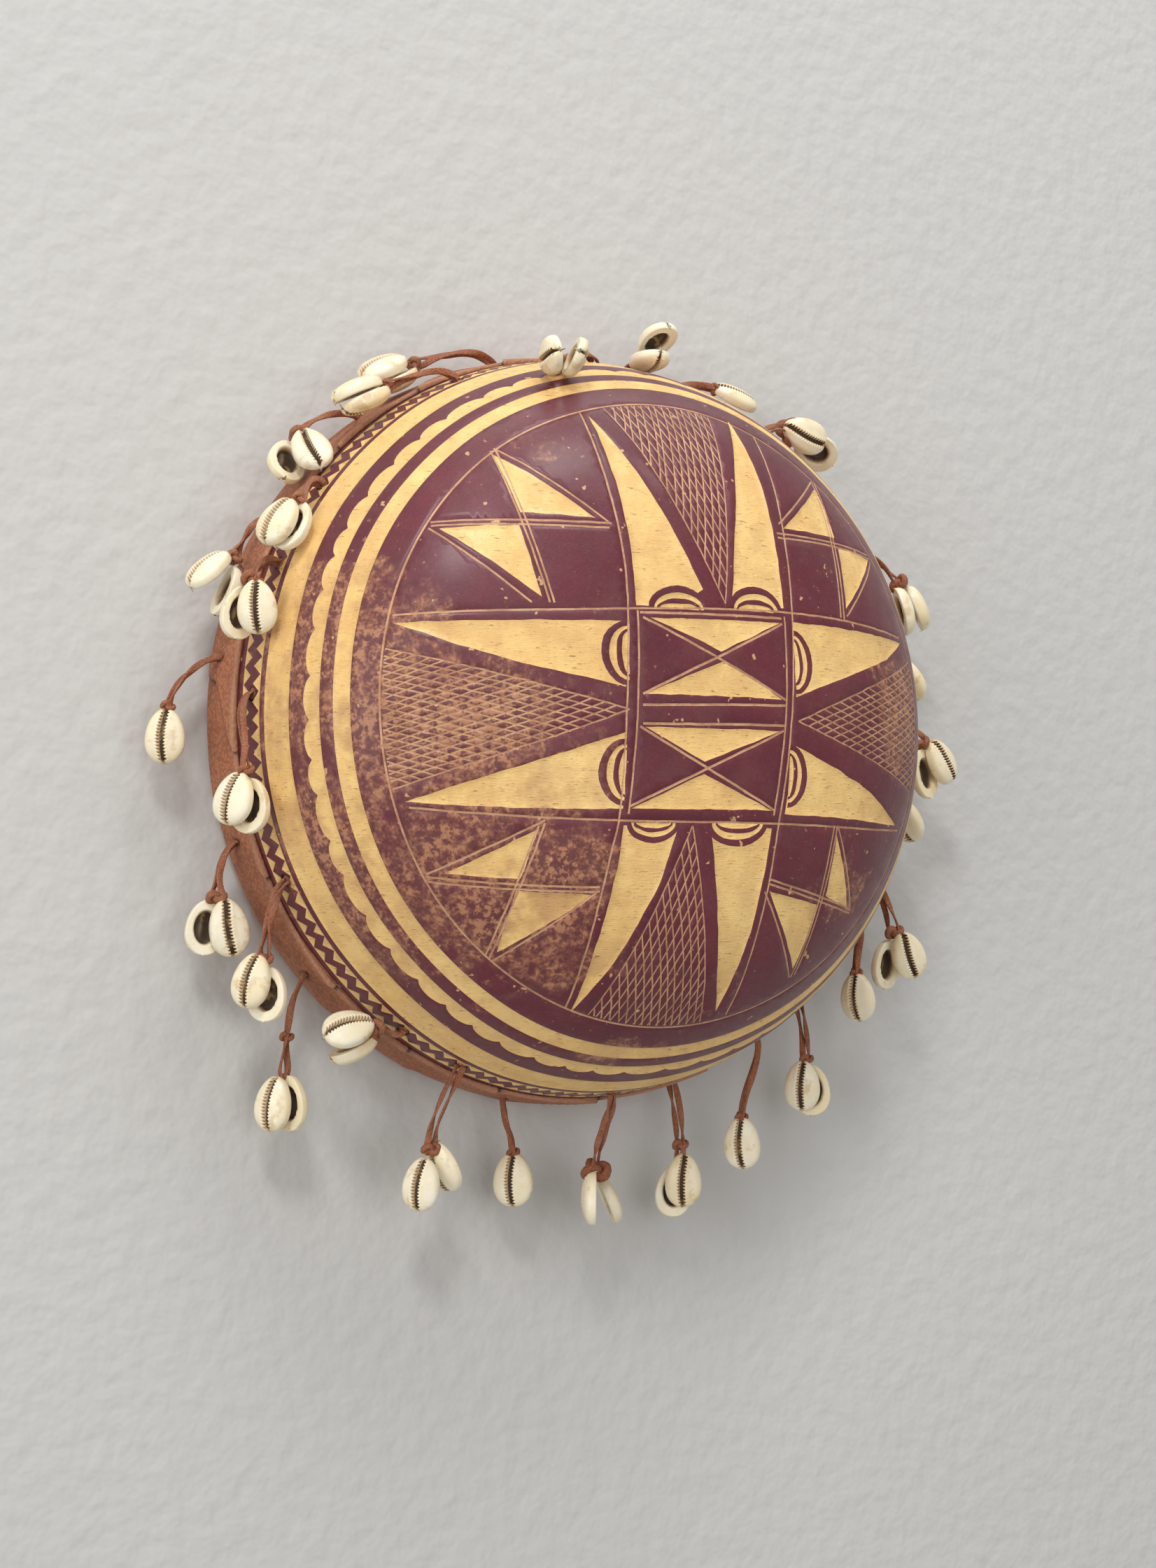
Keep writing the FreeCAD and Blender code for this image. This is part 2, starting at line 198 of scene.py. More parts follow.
def turned(vector, axis, angle):
    """A vector turned about a unit axis by an angle in degrees (Rodrigues' formula)."""
    c, s = math.cos(math.radians(angle)), math.sin(math.radians(angle))
    return vector * c + np.cross(axis, vector) * s + axis * np.dot(axis, vector) * (1 - c)


def hole_mouth(angle, row):
    """Middle of a hole, on the surface that it opens on."""
    cover = SKIN + SKIN_GAP if row == "skirt" else 0.0
    return outwards(angle) * (radius_at(ROW_DEPTH[row]) + cover) + DOME * ROW_DEPTH[row]


def shell_directions(lie, lift):
    """Unit vectors along a shell, from its tied end, and out of a face turned to the room."""
    tilt = math.radians(lift)
    along, c, s = outwards(lie), math.cos(tilt), math.sin(tilt)
    return along * c + DOME * s, DOME * c - along * s


def tied_end(shell):
    """The point just inside the upper tip of a shell, in mm, where its strand reaches it."""
    x, z, off, lie, lift, _ = shell
    return np.array([x, -off, z]) - shell_directions(lie, lift)[0] * (SHELL_LENGTH / 2 - 1)


def thong_route(pendant):
    """The strap's route in mm: out of its hole, down one strand to the shells and up the other.

    The middle line is a cubic curve that leaves the hole outwards and arrives along the shells,
    and the two strands lie either side of it. Where the shells of a pair hang apart, each strand
    ends at its own shell.
    """
    angle, row, shells = pendant
    start = hole_mouth(angle, row) + outwards(angle) * THONG_RISE
    first, last = tied_end(shells[0]), tied_end(shells[-1])
    finish = (first + last) / 2
    down = unit(sum(shell_directions(shell[3], shell[4])[0] for shell in shells))
    pull = np.linalg.norm(finish - start)
    second = start + outwards(angle) * (LEAVING_PULL * pull)
    third = finish - down * (ARRIVING_PULL * pull)
    side = unit(np.cross(finish - start, outwards(angle) + down * 0.2))
    across = (last - first) / 2 * (1 if np.dot(last - first, side) > 0 else -1)
    if np.linalg.norm(across) < END_GAP * STRAND_GAP:
        across = side * END_GAP * STRAND_GAP
    share = np.array([0.0, 0.36, 0.7, 1.0])[:, None]
    width = np.array([0.45, 0.52, 0.42])[:, None]
    rest = 1 - share
    middle = (start * rest ** 3 + second * (3 * rest ** 2 * share)
              + third * (3 * rest * share ** 2) + finish * share ** 3)
    gap = np.vstack([side * width * STRAND_GAP, across])
    root = (start - outwards(angle) * THONG_RISE)[None, :]
    strand = gap[:1]
    return np.concatenate([root - strand, middle - gap, (middle + gap)[::-1], root + strand])


print(len(PENDANTS), "pendants,", sum(len(row[2]) == 1 for row in PENDANTS), "of them single shells")

# %% [markdown]
# ## Making a mesh from whole arrays
# Every new piece is an array of points and an array of faces, made at once with numpy. A small
# helper turns such arrays into an object. A surface on a grid has the same faces every time: each
# cell of the grid is one four-sided face, and a grid that goes around something joins its last
# column to its first.

# %% Mesh helpers
def grid_faces(rows, columns, around=False, across=False):
    """Four-sided faces of a grid of points, optionally closed around its columns or rows."""
    r = np.arange(rows if across else rows - 1)[:, None]
    c = np.arange(columns if around else columns - 1)[None, :]
    below, right = (r + 1) % rows, (c + 1) % columns
    corners = [r * columns + c, below * columns + c, below * columns + right, r * columns + right]
    return np.stack([np.broadcast_to(corner, (r.size, c.size)).ravel() for corner in corners], axis=1)


def tube_faces(rings, sides):
    """Triangles of a tube of rings, closed by a fan to one more point at either end."""
    quads = grid_faces(rings, sides, around=True)
    k = np.arange(sides)
    following = (k + 1) % sides
    first, last = rings * sides, rings * sides + 1
    top = first - sides
    fans = [np.column_stack([np.full(sides, first), k, following]),
            np.column_stack([np.full(sides, last), top + following, top + k])]
    return np.vstack([quads[:, [0, 1, 2]], quads[:, [0, 2, 3]]] + fans)


def hump(value, middle, spread):
    """A smooth hump of height 1: e to the power minus ((value - middle) / spread) squared."""
    return np.exp(-((value - middle) / spread) ** 2)


def new_piece(name, points, faces, smooth=True):
    """An object from points in metres and an array of faces."""
    mesh = bpy.data.meshes.new(name)
    mesh.from_pydata(points.tolist(), [], [face.tolist() for face in faces])
    mesh.validate()
    mesh.polygons.foreach_set("use_smooth", np.full(len(mesh.polygons), smooth))
    piece = bpy.data.objects.new(name, mesh)
    scene.collection.objects.link(piece)
    return piece


def face_outwards(points, faces):
    """Reverse all faces if the volume that they enclose comes out negative."""
    a, b, c = (points[faces[:, k]] for k in (0, 1, 2))
    volume = np.einsum("ij,ij->i", a, np.cross(b, c)).sum()
    if faces.shape[1] == 4:
        volume += np.einsum("ij,ij->i", a, np.cross(c, points[faces[:, 3]])).sum()
    return faces[:, ::-1] if volume < 0 else faces


def point_values(piece, name, values):
    """Store one number per point, for a material to read."""
    layer = piece.data.attributes.new(name, "FLOAT", "POINT")
    layer.data.foreach_set("value", np.asarray(values, dtype=np.float32))


print("a grid of 3 rows of 4 points has", len(grid_faces(3, 4)), "faces")

# %% [markdown]
# ## Thongs
# Each pendant hangs on one strip of leather, about 2.6 mm wide, that comes out of its hole, goes
# down to the shells, through them, and back up into the same hole. Its path is a smooth NURBS curve
# with the route's points as control points. The strip is a flat, rounded section carried along that
# path. Its broad side stays square to the plane in which the strip turns back, and then twists a
# little, as a dried strip does.

# %% A strip of leather
STRAP_WIDTH, STRAP_THICKNESS = 2.6 * MM, 1.0 * MM
STRIP_SIDES = 12


def smooth_path(route):
    """Points along the NURBS curve that has the route as its control points, in metres."""
    curve = bpy.data.curves.new("route", "CURVE")
    curve.dimensions = "3D"
    curve.resolution_u = 10
    spline = curve.splines.new("NURBS")
    spline.points.add(len(route) - 1)
    spline.points.foreach_set("co", np.column_stack([route * MM, np.ones(len(route))]).ravel())
    spline.order_u = 3
    spline.use_endpoint_u = True
    holder = bpy.data.objects.new("route", curve)
    mesh = bpy.data.meshes.new_from_object(holder)
    path = np.empty(len(mesh.vertices) * 3)
    mesh.vertices.foreach_get("co", path)
    bpy.data.objects.remove(holder)
    bpy.data.curves.remove(curve)
    bpy.data.meshes.remove(mesh)
    return path.reshape(-1, 3)


def strip_along(path, broad, width, thickness, twist):
    """A flat strip with rounded edges along a path, as points and faces.

    The section is a superellipse, |x/a| to the power 3 plus |y/b| to the power 3 equal to 1. Its
    broad way is the given direction made square to the path, turned by twist radians along it.
    """
    ahead = unit(np.gradient(path, axis=0))
    across = unit(broad - ahead * (ahead @ broad)[:, None])
    thin = np.cross(ahead, across)
    c, s = np.cos(twist)[:, None], np.sin(twist)[:, None]
    across, thin = across * c + thin * s, thin * c - across * s
    around = full_turn(STRIP_SIDES)
    section_x = np.sign(np.cos(around)) * np.abs(np.cos(around)) ** (2 / 3) * width / 2
    section_y = np.sign(np.sin(around)) * np.abs(np.sin(around)) ** (2 / 3) * thickness / 2
    points = (path[:, None, :] + across[:, None, :] * section_x[None, :, None]
              + thin[:, None, :] * section_y[None, :, None])
    points = np.vstack([points.reshape(-1, 3), path[:1], path[-1:]])
    return points, face_outwards(points, tube_faces(len(path), STRIP_SIDES))


print("strip", round(STRAP_WIDTH / MM, 1), "by", round(STRAP_THICKNESS / MM, 1), "mm")

# %% [markdown]
# One strip is made for every pendant, with its own slow twist, and takes the place of the plain
# thong among the solids.

# %% Thongs
straps, strap_paths = [], []
chance = np.random.default_rng(11)
for number, pendant in enumerate(PENDANTS, start=1):
    route = thong_route(pendant)
    path = smooth_path(route)
    steps = np.linalg.norm(np.diff(path, axis=0), axis=1)
    length = float(steps.sum())
    broad = unit(np.cross(route[4] - route[1], route[8] - route[1]))
    along = np.concatenate([[0.0], np.cumsum(steps)]) / length
    at_start, most = chance.uniform(-0.6, 0.6), chance.uniform(0.7, 1.4)
    waves, phase = chance.uniform(3, 5), chance.uniform(0, 6)
    twist = at_start + most * np.sin(along * math.pi * waves + phase)
    points, faces = strip_along(path, broad, STRAP_WIDTH, STRAP_THICKNESS, twist)
    strap = new_piece(f"strap_{number:02d}", points, faces)
    strap["length_mm"] = round(length / MM, 1)
    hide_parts(f"thong_{number:02d}")
    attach(strap, f"pendant_{number:02d}")
    straps.append(strap)
    strap_paths.append(path)
print("strap lengths in mm", [strap["length_mm"] for strap in straps])

# %% [markdown]
# ## Knots
# A thong is knotted just above its shells, or further up where the maker ran out of strip. The knot
# is a trefoil: a line that winds three times through its own loop, with a round cord along it. It is
# small, so a few faces are enough. It sits around both strands.

# %% A knot
KNOT_RINGS, KNOT_SIDES = 54, 8
SMALLEST_KNOT, KNOT_ROOM = 2.3 * MM, 0.9 * MM


def knot_around(centre, axis, radius):
    """A trefoil knot around an axis, as points and faces.

    With the angle t, its line is (sin t + 2 sin 2t, cos t - 2 cos 2t, -1.1 sin 3t), scaled to the
    given radius. The cord along it reaches 0.36 of the radius to the sides and 0.42 up and down.
    """
    t = full_turn(KNOT_RINGS)
    line = np.column_stack([
        np.sin(t) + 2 * np.sin(2 * t),
        np.cos(t) - 2 * np.cos(2 * t),
        -1.1 * np.sin(3 * t),
    ])
    line *= radius / 3
    ahead = unit(np.roll(line, -1, axis=0) - np.roll(line, 1, axis=0))
    out = unit(np.cross(ahead, [0.0, 0.0, 1.0]))
    up = np.cross(out, ahead)
    a = full_turn(KNOT_SIDES)
    tube = (line[:, None, :] + out[:, None, :] * (np.cos(a) * radius * 0.36)[None, :, None]
            + up[:, None, :] * (np.sin(a) * radius * 0.42)[None, :, None]).reshape(-1, 3)
    first = unit(np.cross(axis, [0.31, 0.81, 0.49]))
    frame_axes = np.array([first, np.cross(axis, first), axis])
    points = centre + tube @ frame_axes
    return points, face_outwards(points, grid_faces(KNOT_RINGS, KNOT_SIDES, around=True, across=True))


print("knot of", KNOT_RINGS * KNOT_SIDES, "faces")

# %% [markdown]
# Each knot sits at a share of the way from the hole to the shells, and is as wide as the two strands need.

# %% Knots
KNOT_SHARE = {20: 0.74, 25: 0.6, 1: 0.9, 23: 0.92, 26: 0.93}
SINGLE_SHARE, PAIR_SHARE = 0.94, 0.87
knots = []
for number, (pendant, path) in enumerate(zip(PENDANTS, strap_paths), start=1):
    share = KNOT_SHARE.get(number, SINGLE_SHARE if len(pendant[2]) == 1 else PAIR_SHARE)
    near = int(share * (len(path) // 2 - 1))
    far = len(path) - 1 - near
    centre = (path[near] + path[far]) / 2
    before = (path[near - 3] + path[far + 3]) / 2
    axis = unit(centre - before)
    spread = np.linalg.norm(path[near] - path[far])
    points, faces = knot_around(centre, axis, max(SMALLEST_KNOT, spread / 2 + KNOT_ROOM))
    knot = new_piece(f"knot_{number:02d}", points, faces)
    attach(knot, f"pendant_{number:02d}")
    knots.append(knot)
print(len(knots), "knots")

# %% [markdown]
# ## Drawing on the flat map
# The gourd was dipped or rubbed with a dark red stain, and the pattern was then scraped and cut
# through it, so every pale shape lies a quarter of a millimetre under the stained skin. Paint alone
# would miss the small shadow along each cut. So the lines of the pattern become edges of the mesh:
# each shape is a closed line, each fine cut is a narrow strip, and the triangles between them get
# the finish and the depth of what lies there. The lines waver a little, as a hand-held knife does.

# %% Hand-drawn lines
STAIN, SCRAPED, CUT, HOLE = 0, 1, 2, 3
wobble = np.random.default_rng(5)
edge_lines, painted = [], []


def drawn(corners, bend=False, closed=False, step=2.5, waver=0.12):
    """Points every few millimetres along a line through the corners, with a slight waver.

    A straight line is divided evenly. A bent one follows, from one corner to the next, the cubic
    whose end slopes are half the step between the neighbouring corners (a Catmull-Rom curve).
    """
    p = np.asarray(corners, dtype=float)
    ahead = np.roll(p, -1, axis=0) if closed else p[1:]
    near = p if closed else p[:-1]
    if closed:
        behind, beyond = np.roll(p, 1, axis=0), np.roll(p, -2, axis=0)
    else:
        behind = np.vstack([2 * p[0] - p[1], p[:-2]])
        beyond = np.vstack([p[2:], 2 * p[-1] - p[-2]])
    pieces = []
    for a, b, c, d in zip(behind, near, ahead, beyond):
        count = max(1, round(float(np.linalg.norm(c - b)) / step))
        t = np.linspace(0, 1, count, endpoint=False)[:, None]
        if bend:
            pieces.append(0.5 * (2 * b + (c - a) * t + (2 * a - 5 * b + 4 * c - d) * t ** 2
                                 + (3 * b - a - 3 * c + d) * t ** 3))
        else:
            pieces.append(b + (c - b) * t)
    if not closed:
        pieces.append(p[-1:])
    line = np.vstack(pieces)
    shake = wobble.normal(0, waver, line.shape)
    return line + (shake + np.roll(shake, 1, axis=0)) / 1.6


def across_line(line, closed=False):
    """Unit vectors to the left of a line at each of its points.

    They are longer at a corner, so that a parallel line keeps its distance: (m + n) / (1 + m.n)
    for the normals m and n of the two sides that meet there.
    """
    if closed:
        before, after = line - np.roll(line, 1, axis=0), np.roll(line, -1, axis=0) - line
    else:
        step = np.diff(line, axis=0)
        before, after = np.vstack([step[:1], step]), np.vstack([step, step[-1:]])
    m, n = (np.column_stack([-way[:, 1], way[:, 0]]) / np.linalg.norm(way, axis=1)[:, None]
            for way in (before, after))
    return (m + n) / np.maximum(1 + (m * n).sum(axis=1), 0.35)[:, None]


def scrape(corners, finish=SCRAPED, bevel=0.45):
    """Add a closed shape: its outline, a second line inside for the foot of the cut, its finish."""
    outline = drawn(corners, closed=True)
    following = np.roll(outline, -1, axis=0)
    turning = (outline[:, 0] * following[:, 1] - outline[:, 1] * following[:, 0]).sum()
    foot = outline + across_line(outline, closed=True) * bevel * (1 if turning > 0 else -1)
    edge_lines.extend([(outline, True), (foot, True)])
    painted.append((outline, finish))


def cut(corners, width, bend=True):
    """Add a narrow cut: a strip of the given width with a middle line for its deepest part."""
    middle = drawn(corners, bend, waver=0.06)
    left = across_line(middle) * width / 2
    sides = np.vstack([middle + left, (middle - left)[::-1]])
    edge_lines.extend([(sides, True), (middle, False)])
    painted.append((sides, CUT))


print("finishes: stain", STAIN, "scraped", SCRAPED, "cut", CUT, "hole", HOLE)

# %% [markdown]
# ### Horns, arcs and hatching
# Two long lines up and down and two across divide the dome into a square in the middle and eight
# long curved horns, two to each side. Between the horns of a side lies a wedge filled with crossing
# fine cuts. Half-round arcs sit at the foot of each horn.

# %% The horns
HORNS = [
    [(-29.5, 36), (-29.5, 60), (-31, 80), (-36, 117), (-20, 85), (-10, 63), (-1.5, 43), (-12, 36)],
    [(35.5, 38), (36, 60), (36, 90), (33, 123), (24, 95), (15, 60), (11.5, 41), (22, 37)],
    [(-33, 30), (-60, 29.5), (-92, 28.8), (-120, 28.5), (-97, 19.5), (-75, 13), (-35, 5.5), (-33.5, 18)],
    [(-35, -38), (-60, -38.7), (-90, -39.2), (-115, -39.5), (-88, -29), (-60, -19), (-34.5, -10.5),
     (-34.8, -25)],
    [(39.5, 33), (60, 33.5), (88, 34.2), (112, 34.8), (95, 25.5), (75, 18), (39, 5), (39, 19)],
    [(35, -39.5), (60, -40), (85, -41), (108, -42), (95, -35.5), (80, -28), (38, -13), (36.5, -26)],
    [(-34, -44), (-35, -60), (-38.5, -85), (-42.5, -119), (-30, -95), (-17, -65), (-11.5, -43.5),
     (-22, -43.5)],
    [(29.5, -45), (28.5, -60), (26.8, -85), (21.5, -119), (15, -100), (8, -70), (2.5, -45), (14, -44)],
]
for corners in HORNS:
    scrape(corners)

HORN_FEET = [
    ((-33.5, 18), (-11, 0), 12), ((-34.5, -25), (-11, 0), 12), ((39, 18), (9, 0), 12),
    ((36, -25), (9, 0), 12), ((-12, 35), (0, 9), 12.5), ((22, 36), (0, 9.5), 12.5),
    ((-22, -43), (0, -7.5), 11), ((14, -43), (0, -9), 13.5),
]
ARC_REACH, ARC_WIDTH = (1.0, 0.70, 0.46, 0.25), (1.0, 0.84, 0.74, 0.66)


def half_round(foot, reach, half_width):
    """Half an ellipse on a foot point: across to either side, and reach as its tallest point."""
    centre, reach = np.array(foot, dtype=float), np.array(reach, dtype=float)
    across = np.array([-reach[1], reach[0]]) / np.linalg.norm(reach) * half_width
    t = np.linspace(0, math.pi, 13)[:, None]
    return centre + across * np.cos(t) + reach * np.sin(t)


for foot, reach, half_width in HORN_FEET:
    for k, (tall, wide) in enumerate(zip(ARC_REACH, ARC_WIDTH)):
        shape = half_round(foot, np.array(reach) * tall, half_width * wide)
        scrape(shape, finish=SCRAPED if k % 2 else STAIN, bevel=0.3)
print(len(HORNS), "horns")

# %% [markdown]
# A wedge is filled by two sets of parallel cuts, each along one of its sides. Every cut starts on
# the other side of the wedge and runs out to the first ring.

# %% The wedges of crossing cuts
WEDGES = [
    ((8, 38), (-28, 121), (22, 124), 3.2), ((-33.5, -2.5), (-120, 18), (-117, -34), 2.8),
    ((40, -4), (118, 27), (118, -27), 3.0), ((-5.5, -44), (-35, -119), (15, -121), 3.3),
]
OUTER_CUT = 124.6
HATCH_WIDTH, HATCH_SLIP, HATCH_BOW, SHORTEST_HATCH = 0.58, 0.5, 0.25, 4


def to_the_ring(start, way):
    """Where a line from a point inside a circle about the origin meets it."""
    b = float(start @ way)
    return start + way * (-b + math.sqrt(b * b - float(start @ start) + OUTER_CUT ** 2))


hatches = 0
for apex, first, second, pitch in WEDGES:
    apex, first, second = (np.array(corner, dtype=float) for corner in (apex, first, second))
    for own, other in ((first, second), (second, first)):
        way = (own - apex) / np.linalg.norm(own - apex)
        side = (other - apex) / np.linalg.norm(other - apex)
        slant = abs(way[0] * side[1] - way[1] * side[0])
        reach = np.linalg.norm(to_the_ring(apex, side) - apex)
        for k in range(int(reach * slant / pitch) + 1):
            slip = wobble.uniform(-HATCH_SLIP, HATCH_SLIP) if k else 0
            start = apex + side * (k * pitch / slant + slip)
            finish = to_the_ring(start, way)
            if np.linalg.norm(finish - start) > SHORTEST_HATCH:
                halfway = (start + finish) / 2 + wobble.normal(0, HATCH_BOW, 2)
                cut([start, halfway, finish], width=HATCH_WIDTH)
                hatches += 1
print(hatches, "hatching cuts")

# %% [markdown]
# ### Bow-ties
# In each corner between the horns stands a pair of scraped triangles, tip to tip, tied by six
# crossing cuts that run on past them.

# %% Bow-ties
BOW_TIES = [
    [(-77, 98), (-70, 71), (-42, 69.5)], [(-101, 65.5), (-71.5, 66), (-66, 38)],
    [(72, 97), (72.5, 72.5), (42, 71.5)], [(73, 68.5), (98, 68.5), (70, 42)],
    [(-66, -46), (-98, -65), (-70.5, -65)], [(-71.5, -69.5), (-43, -70), (-75.5, -95)],
    [(64, -46.5), (63.3, -70.5), (81, -76)], [(32, -69), (60, -74), (56, -101)],
]
TIES = [
    ((-104, 68.5), (-36, 67.5)), ((-104, 66.8), (-37, 65.6)), ((-77.5, 100), (-63, 36)),
    ((-75.5, 100), (-61.3, 36)), ((-76, 101), (-36, 67)), ((-105, 66), (-70, 36)),
    ((38, 67), (100, 69.5)), ((38, 68.8), (99, 71.2)), ((74, 101), (68, 37)),
    ((72.2, 101), (66.2, 38)), ((72, 101), (40, 73)), ((100, 68), (70, 39)),
    ((-105, -67), (-41, -67)), ((-104, -69), (-41, -68.8)), ((-64, -44), (-78, -98)),
    ((-66, -45), (-79.7, -97)), ((-64, -43), (-105, -66)), ((-42, -69), (-77, -99)),
    ((31, -66), (84, -78)), ((31, -64.2), (84, -76.2)), ((62, -43), (57, -105)),
    ((63.8, -44), (58.8, -104)), ((64, -43), (84, -77)), ((30, -69), (56, -105)),
]
for corners in BOW_TIES:
    scrape(corners)
for start, finish in TIES:
    cut([start, finish], width=0.75, bend=False)
print(len(BOW_TIES), "triangles and", len(TIES), "ties")

# %% [markdown]
# The square in the middle holds two pairs of scraped triangles, tip to tip, with crossing diagonal
# cuts through each pair, and level cuts between and above the pairs.

# %% The square in the middle
SQUARE = [
    [(-24, 31.2), (33, 32.2), (5, 20)], [(-27, 3.2), (32, 3.7), (6, 16.5)],
    [(-27, -8.7), (31, -8.2), (-2, -20.5)], [(-31.5, -37.8), (29, -38.2), (-2, -25)],
]
DIAGONALS = [
    ((-27, 31.5), (34, 3.6)), ((-28, 3.2), (34, 32)), ((-29, -8.6), (30, -38)), ((-32, -37), (33, -8)),
    ((-28, -0.8), (34, 1.5)), ((-28, -7.5), (34, -6)), ((-28, 33.3), (34, 34)),
]
for corners in SQUARE:
    scrape(corners)
for start, finish in DIAGONALS:
    cut([start, finish], width=0.9)
print(len(SQUARE), "triangles and", len(DIAGONALS), "cuts in the square")

# %% [markdown]
# Long bent cuts, up and down and across, frame the square and part the horns. The two upright ones
# have a second, short one beside them along the square.

# %% The long dividing lines
LONG_CUTS = [
    [(-39, 119), (-33, 60), (-33, 30), (-34.5, 0), (-36, -40), (-39, -60), (-45, -117)],
    [(-29, 34), (-30, 0), (-32.5, -40)],
    [(44, 117), (42.5, 88), (41, 60), (39.5, 35), (37, 0), (33.5, -35), (32.5, -45), (31, -70), (28, -121)],
    [(35.5, 35), (34, 0), (30, -40)],
    [(-120, 31.5), (-60, 33.5), (-29, 34.8), (0, 35.7), (35, 36.6), (60, 37), (112, 37)],
    [(-113, -41.5), (-60, -42), (0, -42.7), (60, -43.5), (112, -44)],
]
for corners in LONG_CUTS:
    cut(corners, width=0.75)
print(len(painted), "shapes and cuts")

# %% [markdown]
# ### Rings
# Around the middle lie plain rings, a scalloped one like a row of petals, and near the leather a
# zigzag left standing between two rows of little scraped triangles. A scallop or a zigzag is a
# circle whose radius changes with the angle, so the same list of radii draws the line and decides
# what is scraped.

# %% Rings
def uneven(count, spread, seed):
    """Angles that divide a turn into parts of slightly different sizes."""
    parts = np.random.default_rng(seed).uniform(1 - spread, 1 + spread, count)
    return np.concatenate([[0.0], np.cumsum(parts) / parts.sum() * 2 * math.pi])


def plain(radius, count=420):
    """Angles around the crown, and one radius for all of them."""
    return full_turn(count), np.full(count, float(radius))


def circle(ring, wider=0.0):
    """The closed line through the angles and radii of a ring, all radii a little wider."""
    turn, reach = ring[0], ring[1] + wider
    return np.column_stack([reach * np.cos(turn), reach * np.sin(turn)])


def petals(base, bulge, count, seed):
    """Arcs that bulge outwards: between cusps the radius adds bulge times a sine to the power 0.6."""
    cusps = uneven(count, 0.22, seed)
    t = np.linspace(0, 1, 8, endpoint=False)
    turn = (cusps[:-1, None] + np.diff(cusps)[:, None] * t).ravel()
    return turn, base + bulge * np.tile(np.sin(math.pi * t) ** 0.6, count)


def teeth(low, high, count, seed):
    """A zigzag: the radius goes straight up and down between low and high."""
    turn = uneven(count, 0.14, seed)
    middle = (turn[:-1] + turn[1:]) / 2
    reach = np.random.default_rng(seed + 1).normal(0, 0.25, 2 * count)
    reach += np.tile([low, high], count)
    return np.column_stack([turn[:-1], middle]).ravel(), reach


scallop = petals(154.6, 2.7, 56, 21)
zigzag = teeth(184.1, 188.5, 142, 31)
ZIGZAG_HALF, RING_BEVEL, CUT_MIDDLE = 3.2, 0.4, 0.35
zig_inner, zig_outer = (zigzag[0], zigzag[1] - ZIGZAG_HALF), (zigzag[0], zigzag[1] + ZIGZAG_HALF)
RINGS = [
    (plain(125.1), plain(125.9), CUT), (plain(137.1), plain(144.2), SCRAPED),
    (plain(150.0), scallop, SCRAPED), (plain(164.3), plain(177.6), SCRAPED),
    (plain(180.5), zig_inner, SCRAPED), (zig_outer, plain(192.0), SCRAPED),
    (plain(196.0), plain(196.6), CUT),
]
for inner, outer, finish in RINGS:
    edge_lines.extend([(circle(inner), True), (circle(outer), True)])
    if finish == SCRAPED:
        edge_lines.extend([(circle(inner, RING_BEVEL), True), (circle(outer, -RING_BEVEL), True)])
    else:
        edge_lines.append((circle(inner, CUT_MIDDLE), True))
RIM = float(np.interp(SKIN + SKIN_GAP, outline_depth, from_crown[::-1]))
edge_lines.append((circle(plain(RIM, 360)), True))
print(len(RINGS), "rings, the gourd ends at", round(RIM, 1))

# %% [markdown]
# ### The holes in the zigzag band
# Half of the pendants hang from small holes bored through the zigzag band. On the flat map a round
# hole is a little wider than tall, because the map stretches what lies far from the crown.

# %% Holes
HOLE_RADIUS, HOLE_PIT, HOLE_SIDES, HOLE_FOOT = 2.6, 2.6, 14, 0.8
band_arc = float(np.interp(ROW_DEPTH["band"], outline_depth, from_crown[::-1]))
stretch = band_arc / radius_at(ROW_DEPTH["band"])
hole_lines = []
for angle in (row[0] for row in PENDANTS if row[1] == "band"):
    t = full_turn(HOLE_SIDES)
    turn = math.radians(angle) + np.sin(t) * HOLE_RADIUS * stretch / band_arc
    hole_lines.append(circle((turn, band_arc + np.cos(t) * HOLE_RADIUS)))
edge_lines.extend((line, True) for line in hole_lines)
for line in hole_lines:
    middle = line.mean(axis=0)
    edge_lines.append((middle + (line - middle) * HOLE_FOOT, True))
print("zigzag holes at", round(band_arc, 1), "mm from the crown")

# %% [markdown]
# ### From lines to a mesh
# A constrained Delaunay triangulation joins the lines and an even grid of points into triangles and
# keeps every line as an edge. Points of the grid that come too near a line are left out first, or
# they would make splinters.

# %% Triangles of the flat map
def dense(line, closed):
    """Five points on every side of a line, to find what lies near it."""
    start, end = (line, np.roll(line, -1, axis=0)) if closed else (line[:-1], line[1:])
    t = np.linspace(0, 1, 5)[:, None, None]
    return (start + (end - start) * t).reshape(-1, 2)


CELL, HALF_MAP = 1.25, 200
SPACING, GRID_COLUMNS, GRID_ROWS = 3.2, 72, 83
near_line = np.zeros((2 * HALF_MAP, 2 * HALF_MAP), dtype=bool)
for line, closed in edge_lines:
    cell = np.floor(dense(line, closed) / CELL).astype(int) + HALF_MAP
    near_line[cell[:, 1], cell[:, 0]] = True
columns = np.arange(-GRID_COLUMNS, GRID_COLUMNS + 1)
rows = np.arange(-GRID_ROWS, GRID_ROWS + 1)
grid_u = columns[None, :] * SPACING + (rows[:, None] % 2) * SPACING / 2
grid_v = np.broadcast_to(rows[:, None] * SPACING * math.sqrt(0.75), grid_u.shape)
grid = np.column_stack([grid_u.ravel(), grid_v.ravel()])
grid = grid[np.hypot(grid[:, 0], grid[:, 1]) < RIM - 1.5]
cell = np.floor(grid / CELL).astype(int) + HALF_MAP
grid = grid[~near_line[cell[:, 1], cell[:, 0]]]

